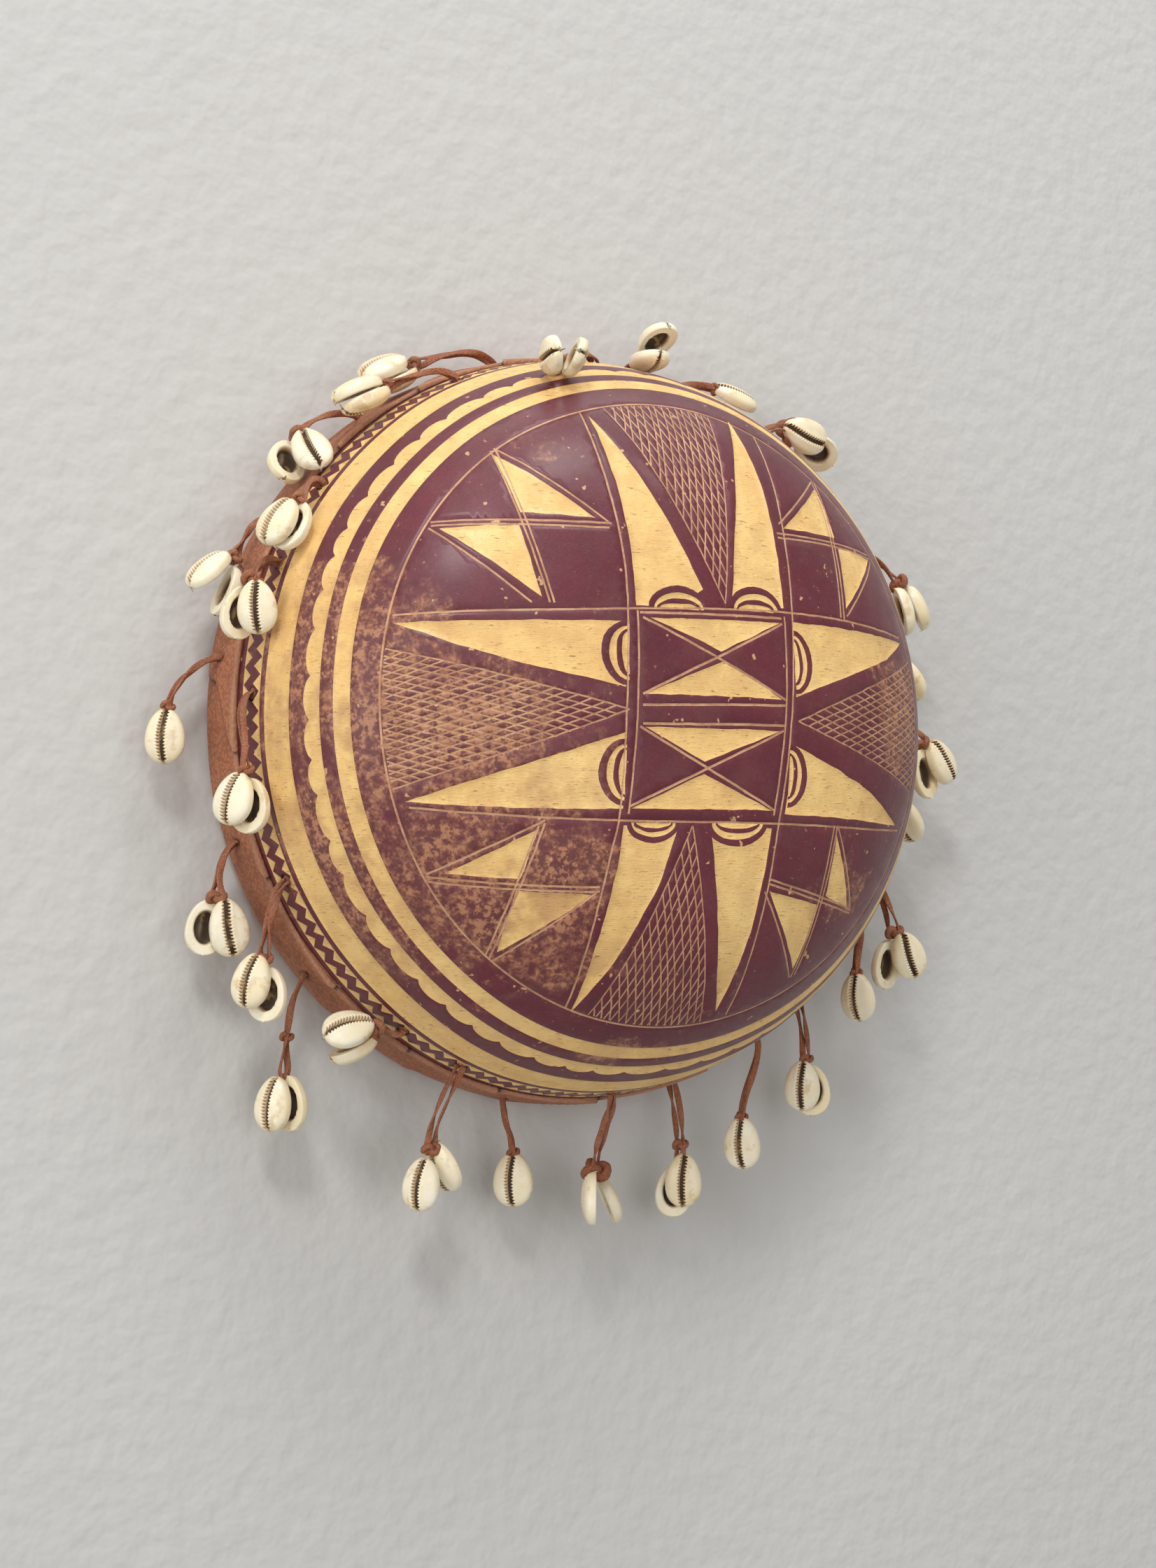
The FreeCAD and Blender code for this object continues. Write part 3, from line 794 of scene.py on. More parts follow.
corner_sets, edge_sets, used = [], [], 0
for line, closed in edge_lines:
    index = np.arange(used, used + len(line))
    pairs = np.column_stack([index, np.roll(index, -1)])
    corner_sets.append(line)
    edge_sets.append(pairs if closed else pairs[:-1])
    used += len(line)
flat_points = np.vstack(corner_sets + [grid])
corners = [Vector(point) for point in flat_points.tolist()]
result = delaunay_2d_cdt(corners, np.vstack(edge_sets).tolist(), [], 0, 1e-3, False)
flat = np.array([tuple(p) for p in result[0]])
triangles = np.array(result[2])
print(len(flat), "points,", len(triangles), "triangles")

# %% [markdown]
# No triangle crosses a line, so its middle tells what it is: it is looked up among the rings by
# radius and angle, and then in each closed shape, where the last shape drawn wins.

# %% Finish of every triangle
def inside(loop, points):
    """Which points lie in a loop: a ray to the right crosses its sides an odd number of times."""
    answer = np.zeros(len(points), dtype=bool)
    low, high = loop.min(axis=0), loop.max(axis=0)
    close = np.flatnonzero(((points >= low) & (points <= high)).all(axis=1))
    x, y = points[close, 0], points[close, 1]
    odd = np.zeros(len(close), dtype=bool)
    for (ax, ay), (bx, by) in zip(loop, np.roll(loop, -1, axis=0)):
        if ay != by:
            crosses = (ay > y) != (by > y)
            odd ^= crosses & (x < (bx - ax) * (y - ay) / (by - ay) + ax)
    answer[close] = odd
    return answer


def reach_at(ring, turn):
    """Radius of a ring at some angles."""
    return np.interp(turn, ring[0], ring[1], period=2 * math.pi)


middles = flat[triangles].mean(axis=1)
middle_reach = np.hypot(middles[:, 0], middles[:, 1])
middle_turn = np.arctan2(middles[:, 1], middles[:, 0])
finishes = np.full(len(triangles), STAIN)
for inner, outer, finish in RINGS:
    beyond = middle_reach > reach_at(inner, middle_turn)
    finishes[beyond & (middle_reach < reach_at(outer, middle_turn))] = finish
for loop, finish in painted:
    finishes[inside(loop, middles)] = finish
for line in hole_lines:
    finishes[inside(line, middles)] = HOLE
print("triangles by finish", np.bincount(finishes).tolist())

# %% [markdown]
# ## The carved gourd
# The flat map is now laid over the dome. A point that belongs only to scraped triangles lies a
# quarter of a millimetre deep, and a point on a shape's edge stays at the level of the skin, so
# each cut gets a short sloping wall. A rim and an inner wall close the half gourd into one solid
# wall, five millimetres thick.

# %% Gourd mesh
LEVEL = np.array([0.0, -0.25, -0.35, -HOLE_PIT])
level = np.full(len(flat), -9.0)
np.maximum.at(level, triangles.ravel(), np.repeat(LEVEL[finishes], 3))
# The whole pattern sways a little from side to side, less and less towards the rim.
SWAY, SWAY_FADE = 0.5, 30
sway = SWAY * np.column_stack([
    np.sin(flat[:, 1] / 23 + 1.3) + 0.6 * np.sin(flat[:, 0] / 14 + flat[:, 1] / 31),
    np.sin(flat[:, 0] / 27 + 0.4) + 0.6 * np.sin(flat[:, 1] / 16 - flat[:, 0] / 35),
])
sway *= np.clip((RIM - np.hypot(flat[:, 0], flat[:, 1])) / SWAY_FADE, 0, 1)[:, None]
outside = on_dome(flat + sway, level)

# The inner wall hangs on the points of the rim, in rings that close over the crown.
rim_index = np.flatnonzero(np.hypot(flat[:, 0], flat[:, 1]) > RIM - 0.02)
rim_index = rim_index[np.argsort(np.arctan2(flat[rim_index, 1], flat[rim_index, 0]))]
rim_way = unit(flat[rim_index])
inner_arcs = np.array([RIM, 217, 208, 196, 182, 166, 148, 128, 107, 86, 65, 44, 24, 10])
inner_flat = (inner_arcs[:, None, None] * rim_way).reshape(-1, 2)
inside_wall = on_dome(inner_flat, np.full(len(inner_flat), -WALL))
inside_wall[:rim_index.size, 1] = -(SKIN + SKIN_GAP) * MM
crown = on_dome(np.zeros((1, 2)), np.array([-WALL]))

count = rim_index.size
start = len(outside)
wall_quads = grid_faces(inner_arcs.size, count, around=True) + start
k = np.arange(count)
rim_quads = np.column_stack([rim_index, start + k, start + (k + 1) % count, np.roll(rim_index, -1)])
last = start + (inner_arcs.size - 1) * count
cap = np.column_stack([last + k, np.full(count, last + count), last + (k + 1) % count])
quads = np.vstack([wall_quads, rim_quads])
lining = np.vstack([quads[:, [0, 1, 2]], quads[:, [0, 2, 3]], cap])
gourd_points = np.vstack([outside, inside_wall, crown])
a, b, c = (gourd_points[triangles[:, k]] for k in (0, 1, 2))
outward = np.cross(b - a, c - a)[:, 1].sum() < 0
shell_faces = triangles if outward else triangles[:, ::-1]
gourd = new_piece("carved_gourd", gourd_points, np.vstack([shell_faces, lining]))
print("gourd:", len(gourd.data.polygons), "triangles")

# %% [markdown]
# The finish is kept on the corners of the faces, which keeps the edges of the colours sharp. The
# wear is a soft value on the points: hands wore the gourd in a few places, and a table gives each
# one's middle on the flat map, how far it spreads across and up, and its strength.

# %% Finish and wear of the gourd
face_finish = np.concatenate([finishes, np.full(len(lining), SCRAPED)])
layer = gourd.data.attributes.new("finish", "FLOAT", "CORNER")
layer.data.foreach_set("value", np.repeat(face_finish, 3).astype(np.float32))

WEAR_SPOTS = [
    (-95, -8, 42, 30, 1.0), (-128, 0, 30, 52, 1.0), (-150, 20, 22, 50, 0.95), (-142, -60, 28, 40, 0.95),
    (-84, -36, 34, 16, 0.9), (-72, -78, 40, 32, 0.95), (-58, -58, 28, 14, 0.95), (-104, -58, 24, 30, 0.95),
    (-170, 5, 12, 55, 0.9), (104, 4, 22, 30, 0.85), (-52, -95, 20, 22, 0.7), (-20, -140, 34, 12, 0.5),
    (60, 130, 20, 14, 0.35), (20, -110, 14, 16, 0.3), (150, 30, 10, 30, 0.35), (72, -66, 26, 12, 0.6),
    (-60, 100, 16, 20, 0.3), (-5, -80, 10, 30, 0.3), (-118, -95, 20, 26, 0.6),
]
wear = np.zeros(len(flat))
for u, v, wide, tall, strength in WEAR_SPOTS:
    wear = np.maximum(wear, strength * hump(flat[:, 0], u, wide) * hump(flat[:, 1], v, tall))
point_values(gourd, "wear", np.concatenate([wear, np.zeros(len(gourd_points) - len(flat))]))
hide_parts("gourd_shell")
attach(gourd, "drum")
print(len(WEAR_SPOTS), "worn spots")

# %% [markdown]
# ## The skin
# The leather covers the mouth, folds over the rim and is glued about 27 mm up the side, where its
# cut tongues overlap like shingles. It is one closed surface turned about the drum's axis: across
# the head, around the fold, along the outside of the skirt, over its edge, and back underneath. The
# tongues are a rise in the skirt that grows slowly towards each tongue's edge and drops there at
# once. Short slits, pulled open by the thongs, are dents.

# %% Shape of the skirt
TONGUES, TONGUE_LEAN, TONGUE_RISE = 21, 13.0, 1.25
SLIT_ANGLES = np.radians([row[0] for row in PENDANTS if row[1] == "skirt"])
SKIN_COLUMNS = 1200
turn = full_turn(SKIN_COLUMNS)
tongue_edges = uneven(TONGUES, 0.25, 41)[:-1]
edge_depth = SKIRT_HEIGHT - 0.5 + 0.5 * np.sin(turn * 9 + 1) * np.sin(turn * 4)


def from_edges(depth):
    """Distances in mm from each point to the tongue's edge ahead of it and to the one behind it.

    The edge leans: it starts near the fold and moves on by the lean as the depth grows, first
    slowly and then fast, which rounds the tip.
    """
    share = np.clip(depth / SKIRT_HEIGHT, 0, 1)
    lean = math.radians(TONGUE_LEAN) * (share ** 1.7 + 0.06 * np.sin(share * 9))
    ahead = (tongue_edges[:, None] + lean[None, :] - turn[None, :]) % (2 * math.pi)
    return ahead.min(axis=0) * GOURD_RADIUS, (2 * math.pi - ahead).min(axis=0) * GOURD_RADIUS


def skirt_row(depth):
    """Rise of the leather, and how dark the painted shade in its crease is, at one depth around the skirt.
    """
    before, after = from_edges(depth)
    fade = np.clip(depth / 5, 0, 1)
    rise = TONGUE_RISE * np.exp(-before / 17) * fade
    # Painted shade: dark at the foot of each tongue's edge, where the next tongue comes out from under it,
    # and in the slits.
    crease_shade = (hump(after, 0, 0.9) + 0.35 * hump(after, 0, 3.0)) * fade
    away = (turn[None, :] - SLIT_ANGLES[:, None] + math.pi) % (2 * math.pi) - math.pi
    away *= GOURD_RADIUS
    down = depth[None, :] - ROW_DEPTH["skirt"]
    slit = (hump(away, 0, 1.5) * hump(down, 0, 2.6)).max(axis=0)
    lip = (hump(away, 0, 4.5) * hump(down, 0, 5.0)).max(axis=0)
    return rise + 0.35 * lip - 1.1 * slit, np.clip(crease_shade + 1.2 * slit, 0, 1)


def profile_at(depth, offset):
    """Radius and depth of the gourd's outline moved outwards by an offset."""
    sideways = np.interp(depth, outline_depth, normal_radius)
    forwards = np.interp(depth, outline_depth, normal_depth)
    return radius_at(depth) + offset * sideways, depth + offset * forwards


print(TONGUES, "tongues and", len(SLIT_ANGLES), "slits")

# %% [markdown]
# The skin is a stack of rings: from the middle of the head, which faces the wall, around the fold,
# up the outside of the skirt, over its edge, and back underneath to the middle of the head.

# %% Skin
skin_rows, skin_crease_shade, skin_edge = [], [], []


def add_row(radius, depth, crease_shade=0.0, edge=0.0):
    """Keep one ring of the skin: radius, depth and two values, each a number or one per column."""
    radius, depth, crease_shade, edge = (
        np.broadcast_to(value, turn.shape).astype(float) for value in (radius, depth, crease_shade, edge)
    )
    skin_rows.append(around_axis(radius, depth, turn))
    skin_crease_shade.append(crease_shade)
    skin_edge.append(edge)


FOLD, UNDER = 2 * SKIN, 0.06
fold_radius = float(profile_at(np.array([FOLD]), SKIN_GAP + SKIN)[0][0])
for radius in (20, 60, 95, 120, 135, 142, fold_radius - FOLD):
    add_row(radius, 0.0)
for bend in np.radians([22.5, 45, 67.5]):
    add_row(fold_radius - FOLD * (1 - math.sin(bend)), FOLD * (1 - math.cos(bend)))
for share in np.linspace(0, 1, 19):
    depth = FOLD + (edge_depth - FOLD) * share
    rise, crease_shade = skirt_row(depth)
    radius, own_depth = profile_at(depth, SKIN_GAP + SKIN + rise)
    add_row(radius, own_depth, crease_shade, max(0.0, share * 8 - 7))
for sink, further in ((0.3, 0.28), (0.75, 0.4), (1.0, 0.25)):
    rise, crease_shade = skirt_row(edge_depth)
    offset = (SKIN_GAP + SKIN + rise) * (1 - sink) + UNDER * sink
    radius, own_depth = profile_at(edge_depth + further, offset)
    add_row(radius, own_depth, crease_shade, 1.0)
for share in (0.97, 0.8, 0.6, 0.4, 0.2, 0.06):
    radius, own_depth = profile_at(edge_depth * share, UNDER)
    add_row(radius, own_depth)
for radius in (130, 90, 45, 15):
    add_row(radius, SKIN)
skin_points = np.vstack(skin_rows + [np.array([[0, 0, 0], [0, -SKIN * MM, 0]])])
skin_faces = tube_faces(len(skin_rows), SKIN_COLUMNS)
skin = new_piece("leather_skin", skin_points, face_outwards(skin_points, skin_faces))
# The crease value is painted shade along the tongues' edges and in the slits.
point_values(skin, "crease_shade", np.append(np.concatenate(skin_crease_shade), [0.0, 0.0]))
point_values(skin, "edge", np.append(np.concatenate(skin_edge), [0.0, 0.0]))
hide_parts("drum_skin")
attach(skin, "drum")
print("skin:", len(skin.data.polygons), "triangles")

# %% [markdown]
# ## Cowries
# A cowrie is an egg with a flat face. A narrow toothed slit runs along the face, and each lip has
# short ridges across it. The back was cut or ground off, so from behind one sees a flat white ring
# around the dark hollow of the shell. One pattern is worked out on a grid of rows along the shell
# and columns around it, and placed for every shell, a little wider or longer each time.

# %% Cowrie pattern
SHELL_ROWS, FACE_COLUMNS, BACK_COLUMNS = 116, 42, 24
FACE_DEEP, BACK_DEEP, HOLLOW_DEEP, TOOTH = 4.4, 4.7, 2.9, 1.3


def cowrie(rng):
    """One shell in its own frame: x across, -y out of the face, z up to the tied end, in mm.

    Along the shell, the half width is 8.7 times a rounded ellipse of the height, narrower at the
    tied end. Around it, the section is an ellipse whose face side is 4.4 deep and whose back, 4.7
    deep, is cut off at 1.3. The slit takes a groove out of the face along a line that bends to one
    side, with a wave along its lips for the teeth: dark gaps on one lip, pale ridges on the other.
    The hollow takes a bowl out of the cut back, with the shell's inner whorl standing in it.
    """
    # Heights of the rows, from -1 to 1, closer together towards both tips.
    half_length, half_width = SHELL_LENGTH / 2, SHELL_WIDTH / 2
    t = np.linspace(0, 1, SHELL_ROWS + 2)[1:-1]
    z = -half_length * np.cos(math.pi * t) * (0.62 + 0.38 * np.abs(np.cos(math.pi * t)) ** 0.5)
    z = z / np.abs(z).max() * half_length * 0.9985
    level = (z / half_length)[:, None]
    full = (1 - np.abs(level) ** 2.1) ** 0.5
    width = half_width * full * (0.97 - 0.15 * level)
    # Angles of the columns around the shell, most of them across the slit.
    q = np.linspace(-1, 1, FACE_COLUMNS)
    face_turn = np.sign(q) * np.abs(q) ** 1.6 * math.pi / 2
    back_turn = np.linspace(math.pi / 2, 3 * math.pi / 2, BACK_COLUMNS + 2)[1:-1]
    a = np.concatenate([face_turn, back_turn])[None, :]
    on_face = np.cos(a) > -1e-9
    x = width * np.sign(np.sin(a)) * np.abs(np.sin(a)) ** 0.9
    bulge = (1 - level ** 2).clip(0)
    deep = np.where(on_face, FACE_DEEP * bulge ** 0.42, BACK_DEEP * np.sqrt(bulge))
    y = -deep * np.sign(np.cos(a)) * np.abs(np.cos(a)) ** np.where(on_face, 0.66, 0.9)
    # The slit and its teeth.
    slit_x = (rng.uniform(0.8, 1.5) * (1 - level ** 2) - rng.uniform(0.2, 0.6) * level) * full
    x = x + np.where(on_face, slit_x * np.cos(a).clip(0) ** 2, 0)
    away = x - slit_x
    off_slit = np.abs(away)
    ends = np.clip((1 - np.abs(level)) * 7, 0, 1)
    phase = 0.6 * np.sign(away) + rng.uniform(0, 6)
    gap = 0.5 + 0.5 * np.cos(2 * math.pi * z[:, None] / TOOTH + phase)
    reach = np.where(away > 0, 1.0, 0.75) * gap ** 1.5 * ends
    opening = 0.45 + 0.5 * (1 - level ** 2) + 0.14 * level + 0.8 * reach
    groove = np.clip(1 - (off_slit / (opening + 0.3)) ** 3, 0, 1) * on_face
    lips = hump(off_slit, 2.0, 1.2) * on_face * ends
    ridges = hump(off_slit, 1.5, 0.9) * on_face * ends * gap
    notch = hump(np.abs(level), 1.0, 0.07) * hump(away, 0, 1.3) * on_face
    y = y + groove * 2.0 - lips * 0.4 + ridges * 0.28 + 0.9 * notch
    # The cut back and its hollow.
    ring = np.hypot(x / (0.72 * half_width), z[:, None] / (0.76 * half_length))
    bowl = np.clip((0.88 - ring) / 0.2, 0, 1)
    bowl = bowl * bowl * (3 - 2 * bowl)
    whorl = 1.7 * hump(x, -1.9, 1.5) * np.clip(1 - ring, 0, 1)
    y = np.where(on_face, y, np.minimum(y, SHELL_BACK) - bowl * (HOLLOW_DEEP - 0.8 * whorl))
    # Painted shade with some grime: a dark line along the slit, dark gaps on one lip, light ones on the
    # other, and the hollow.
    line = np.clip(1.5 * hump(away, -0.1, 0.75), 0, 1)
    dark_teeth = np.clip(1.5 * hump(away, -1.05, 0.7) * gap ** 0.8, 0, 1)
    pale_teeth = hump(away, 1.3, 0.8) * (0.16 + 0.5 * gap)
    slit_grime_and_shade = np.maximum.reduce([line, dark_teeth, pale_teeth, groove * 0.3]) * ends
    # The hollow is darkened as painted shade, less on the whorl that stands up in it.
    grime_and_shade = np.where(on_face, slit_grime_and_shade, bowl ** 0.7 * 0.95 - whorl * 0.2)
    tips = np.array([[0.0, -0.4, -half_length], [0.0, -0.4, half_length]])
    grid = np.stack([x, y, np.broadcast_to(z[:, None], x.shape)], axis=-1).reshape(-1, 3)
    return np.vstack([grid, tips]), np.append(np.clip(grime_and_shade, 0, 1).ravel(), [0.3, 0.3])


print("points of one shell", SHELL_ROWS * (FACE_COLUMNS + BACK_COLUMNS) + 2)


# %% [markdown]
# Every shell is placed by its own three axes, and has its own mouth, size and tint. The shells of
# one pendant are one piece, because they swing together.

# %% Cowries
def shell_axes(shell):
    """Axes of one shell's own frame in the drum's frame, as rows: across, out of its back, up."""
    _, _, _, lie, lift, turn_angle = shell
    down, face = shell_directions(lie, lift)
    face = turned(face, down, turn_angle)
    return np.array([np.cross(down, face), -face, -down])


SMALLEST, LARGEST = [0.84, 0.94, 0.91], [0.95, 1.0, 1.0]
shell_rng = np.random.default_rng(77)
pattern_faces = tube_faces(SHELL_ROWS, FACE_COLUMNS + BACK_COLUMNS)
shell_pieces = []
for number, pendant in enumerate(PENDANTS, start=1):
    all_points, all_grime_and_shade, all_tint, all_faces = [], [], [], []
    for shell in pendant[2]:
        points, grime_and_shade = cowrie(shell_rng)
        size = shell_rng.uniform(SMALLEST, LARGEST)
        x, z, off = shell[:3]
        placed = (np.array([x, -off, z]) + (points * size) @ shell_axes(shell)) * MM
        used = len(points) * len(all_points)
        all_faces.append(face_outwards(placed, pattern_faces) + used)
        all_points.append(placed)
        all_grime_and_shade.append(grime_and_shade)
        all_tint.append(np.full(len(points), shell_rng.uniform(0, 1)))
    piece = new_piece(f"shells_{number:02d}", np.vstack(all_points), np.vstack(all_faces))
    # The grime-and-shade value holds the painted shade of the slits and hollows, with some grime.
    point_values(piece, "grime_and_shade", np.concatenate(all_grime_and_shade))
    point_values(piece, "tint", np.concatenate(all_tint))
    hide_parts(f"cowries_{number:02d}")
    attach(piece, f"pendant_{number:02d}")
    shell_pieces.append(piece)
print("triangles in one shell", len(pattern_faces), "- shells", sum(len(row[2]) for row in PENDANTS))

# %% [markdown]
# ## Finishes
# Every finish is worked out from noise in the material, so it needs no pictures. Three effects turn
# up on several materials and are made once as node groups: blotches, for the uneven colour of
# anything handled or dyed; grain, for the fine pebbles of leather; and dust, for a thin pale film
# over everything. A short helper makes a node, gives values to its sockets and links those that
# are fed. Colours are written as a screen shows them and turned into the linear ones that a
# shader takes.

# %% Helpers for materials
def linear(red, green, blue):
    """A display colour from 0 to 255, as the linear colour that a shader takes."""
    c = np.array([red, green, blue]) / 255
    return (*np.where(c <= 0.04045, c / 12.92, ((c + 0.055) / 1.055) ** 2.4).tolist(), 1.0)


def add(tree, kind, sockets=None, **settings):
    """A node with its settings; each socket named is given a value or linked to an output."""
    made = tree.nodes.new("ShaderNode" + kind)
    for key, value in settings.items():
        setattr(made, key, value)
    for key, value in (sockets or {}).items():
        if isinstance(value, bpy.types.NodeSocket):
            tree.links.new(value, made.inputs[key])
        else:
            made.inputs[key].default_value = value
    return made


def calc(tree, operation, a, b=0.0, c=0.0):
    """One step of arithmetic."""
    return add(tree, "Math", {0: a, 1: b, 2: c}, operation=operation).outputs[0]


def scaled(tree, value, by, plus=0.0):
    """A value times another, plus a third."""
    return calc(tree, "MULTIPLY_ADD", value, by, plus)


def mixed(tree, factor, a, b, share=1.0):
    """Two colours mixed by a share of a factor; each is an output or a display colour."""
    a, b = (linear(*colour) if isinstance(colour, tuple) else colour for colour in (a, b))
    if share != 1.0:
        factor = scaled(tree, factor, share)
    return add(tree, "Mix", {0: factor, 6: a, 7: b}, data_type="RGBA").outputs[2]


def layered(tree, colour, *layers):
    """A colour with others laid over it; a layer is a factor, a share of it, and its colour."""
    for factor, share, upper in layers:
        colour = mixed(tree, factor, colour, upper, share)
    return colour


def between(tree, value, low, high):
    """A value spread smoothly so that low becomes 0 and high becomes 1; low may be the larger."""
    sockets = {"Value": value, "From Min": low, "From Max": high}
    return add(tree, "MapRange", sockets, interpolation_type="SMOOTHSTEP").outputs["Result"]


def noise(tree, where, scale, detail=3.0, roughness=0.55):
    """Soft noise in space, from 0 to 1; scale is in waves per metre."""
    sockets = {"Vector": where, "Scale": scale, "Detail": detail, "Roughness": roughness}
    return add(tree, "TexNoise", sockets).outputs[0]


print("a middle grey of 128 is", round(linear(128, 128, 128)[0], 3), "in linear light")

# %% [markdown]
# A node group has named inputs and outputs and is used like a single node. A material starts with
# the standard shader and with the places on the object, in metres, which all the noise follows.

# %% Helpers for groups and materials
SOCKETS = {1: "NodeSocketFloat", 3: "NodeSocketVector", 4: "NodeSocketColor"}


def new_group(name, given, put):
    """A node group with named inputs and outputs; 1, 3 or 4 numbers make a value, place or colour."""
    group = bpy.data.node_groups.new(name, "ShaderNodeTree")
    for way, sockets in (("INPUT", given), ("OUTPUT", put)):
        for label, value in sockets.items():
            kind = SOCKETS[np.size(value)]
            group.interface.new_socket(label, in_out=way, socket_type=kind).default_value = value
    return group, group.nodes.new("NodeGroupInput").outputs, group.nodes.new("NodeGroupOutput").inputs


def use(tree, group, **sockets):
    """Place a node group, feed the sockets named, and return its outputs."""
    return add(tree, "Group", sockets, node_tree=group).outputs


def new_material(name):
    """A material, its tree, and the places on the object that it can read."""
    material = bpy.data.materials.new(name)
    material.use_nodes = True
    return material, material.node_tree, add(material.node_tree, "TexCoord").outputs["Object"]


def value_of(tree, name):
    """A value that the mesh carries."""
    return add(tree, "Attribute", attribute_name=name).outputs["Fac"]


def bump(tree, shader, height, depth):
    """Let a height from 0 to 1 dent the surface by a depth in metres."""
    made = add(tree, "Bump", {"Height": height, "Strength": 1.0, "Distance": depth})
    tree.links.new(made.outputs["Normal"], shader.inputs["Normal"])


print("sockets of", sorted(SOCKETS), "numbers")

# %% [markdown]
# Blotches are two sizes of noise added up and spread about the middle, so that they have soft
# edges. The group also hands out its finer noise, for what varies without an edge.

# %% Blotches
blotches, given, put = new_group(
    "blotches", {"Place": (0, 0, 0), "Size": 0.02, "Edge": 0.12}, {"Mask": 0.0, "Fine": 0.0})
waves = calc(blotches, "DIVIDE", 1.0, given["Size"])
broad = noise(blotches, given["Place"], waves, 4.0, 0.62)
fine = noise(blotches, given["Place"], scaled(blotches, waves, 7.0), 3.0, 0.6)
both = scaled(blotches, broad, 0.72, scaled(blotches, fine, 0.28))
low, high = (calc(blotches, way, 0.5, given["Edge"]) for way in ("SUBTRACT", "ADD"))
blotches.links.new(between(blotches, both, low, high), put["Mask"])
blotches.links.new(fine, put["Fine"])
print("blotches:", len(blotches.nodes), "nodes")

# %% [markdown]
# Leather grain is a cell pattern, high in the middle of each cell, with some fine noise for fibres.

# %% Grain
grain, given, put = new_group(
    "grain", {"Place": (0, 0, 0), "Size": 0.0015}, {"Height": 0.0, "Tone": 0.0})
waves = calc(grain, "DIVIDE", 1.0, given["Size"])
cells = add(grain, "TexVoronoi", {"Vector": given["Place"], "Scale": waves, "Randomness": 1.0})
pebble = between(grain, cells.outputs["Distance"], 0.75, 0.05)
fibre = noise(grain, given["Place"], scaled(grain, waves, 1.7), 4.0, 0.65)
grain.links.new(scaled(grain, pebble, 0.65, scaled(grain, fibre, 0.35)), put["Height"])
grain.links.new(fibre, put["Tone"])
print("grain:", len(grain.nodes), "nodes")

# %% [markdown]
# Dust is a thin pale film in clouds with a few specks. Every finish of the drum ends with a little
# of it, so the same helper adds the dust, feeds the shader and gives the material to its pieces.

# %% Dust
DUST_COLOUR = (186, 160, 134)
dust, given, put = new_group(
    "dust", {"Place": (0, 0, 0), "Colour": (1, 1, 1, 1), "Amount": 0.2}, {"Colour": (1, 1, 1, 1)})
cloud = noise(dust, given["Place"], 55.0, 6.0, 0.7)
speck = between(dust, noise(dust, given["Place"], 900.0, 2.0, 0.6), 0.52, 0.66)
film = scaled(dust, speck, 0.6, between(dust, cloud, 0.42, 0.7))
cover = calc(dust, "MULTIPLY", film, given["Amount"])
dust.links.new(mixed(dust, cover, given["Colour"], DUST_COLOUR), put["Colour"])
print("dust:", len(dust.nodes), "nodes")


def dress(pieces, material, place, colour, dusty, roughness, height, depth):
    """Give pieces a material: a dusted colour, a roughness, and dents of a depth in metres."""
    tree = material.node_tree
    shader = tree.nodes["Principled BSDF"]
    colour = use(tree, dust, Place=place, Colour=colour, Amount=dusty)["Colour"]
    tree.links.new(colour, shader.inputs["Base Color"])
    tree.links.new(roughness, shader.inputs["Roughness"])
    bump(tree, shader, height, depth)
    for piece in pieces:
        piece.data.materials.append(material)
    print(material.name, "has", len(tree.nodes), "nodes and dresses", len(pieces), "pieces")


# %% [markdown]
# ### Stained and scraped gourd
# The stain is a dark wine red with a soft gloss from years of handling, redder or browner in large
# clouds. Where hands have worn it thin it turns to a soft brown mottle, and here and there it is
# rubbed or chipped to the flesh. Scraping shows the pale straw-coloured flesh, which is dry and
# dull, with fine dark flecks where the knife skipped, and smudged brown in the worn places.

# %% Gourd material
material, tree, place = new_material("stained_gourd")
finish, worn = value_of(tree, "finish"), value_of(tree, "wear")
scraped = calc(tree, "GREATER_THAN", finish, SCRAPED - 0.5)
is_cut = calc(tree, "COMPARE", finish, CUT, 0.4)
is_hole = calc(tree, "GREATER_THAN", finish, HOLE - 0.5)
cloud = use(tree, blotches, Place=place, Size=0.05, Edge=0.2)["Mask"]
small = use(tree, blotches, Place=place, Size=0.009, Edge=0.1)["Mask"]
tiny = use(tree, blotches, Place=place, Size=0.0032, Edge=0.07)["Fine"]
broad_patches = use(tree, blotches, Place=place, Size=0.12, Edge=0.2)["Fine"]

drift = calc(tree, "SUBTRACT", broad_patches, 0.5)
coarse_flecks = noise(tree, place, 330.0, 2.5, 0.5)
flecked = scaled(tree, noise(tree, place, 800.0, 2.0, 0.6), 0.7, coarse_flecks)
thinned = between(tree, scaled(tree, drift, 1.6, worn), 0.3, 0.62)
soft_mottle = between(tree, scaled(tree, flecked, 0.6), 0.42, 0.62)
browned = mixed(tree, soft_mottle, (108, 54, 54), (168, 110, 82))
uneven_wear = scaled(tree, drift, 1.1, scaled(tree, worn, 0.55))
bare = scaled(tree, calc(tree, "SUBTRACT", flecked, 0.85), 1.9, uneven_wear)
chip = between(tree, noise(tree, place, 210.0, 2.0, 0.5), 0.71, 0.735)
stain = layered(
    tree, mixed(tree, cloud, (95, 29, 43), (112, 40, 52)), (small, 0.3, (86, 28, 44)),
    (thinned, 0.9, browned), (between(tree, bare, 0.5, 0.74), 0.45, (200, 144, 106)),
    (chip, 1.0, (206, 160, 120)))
print("the stain takes", len(tree.nodes), "nodes")
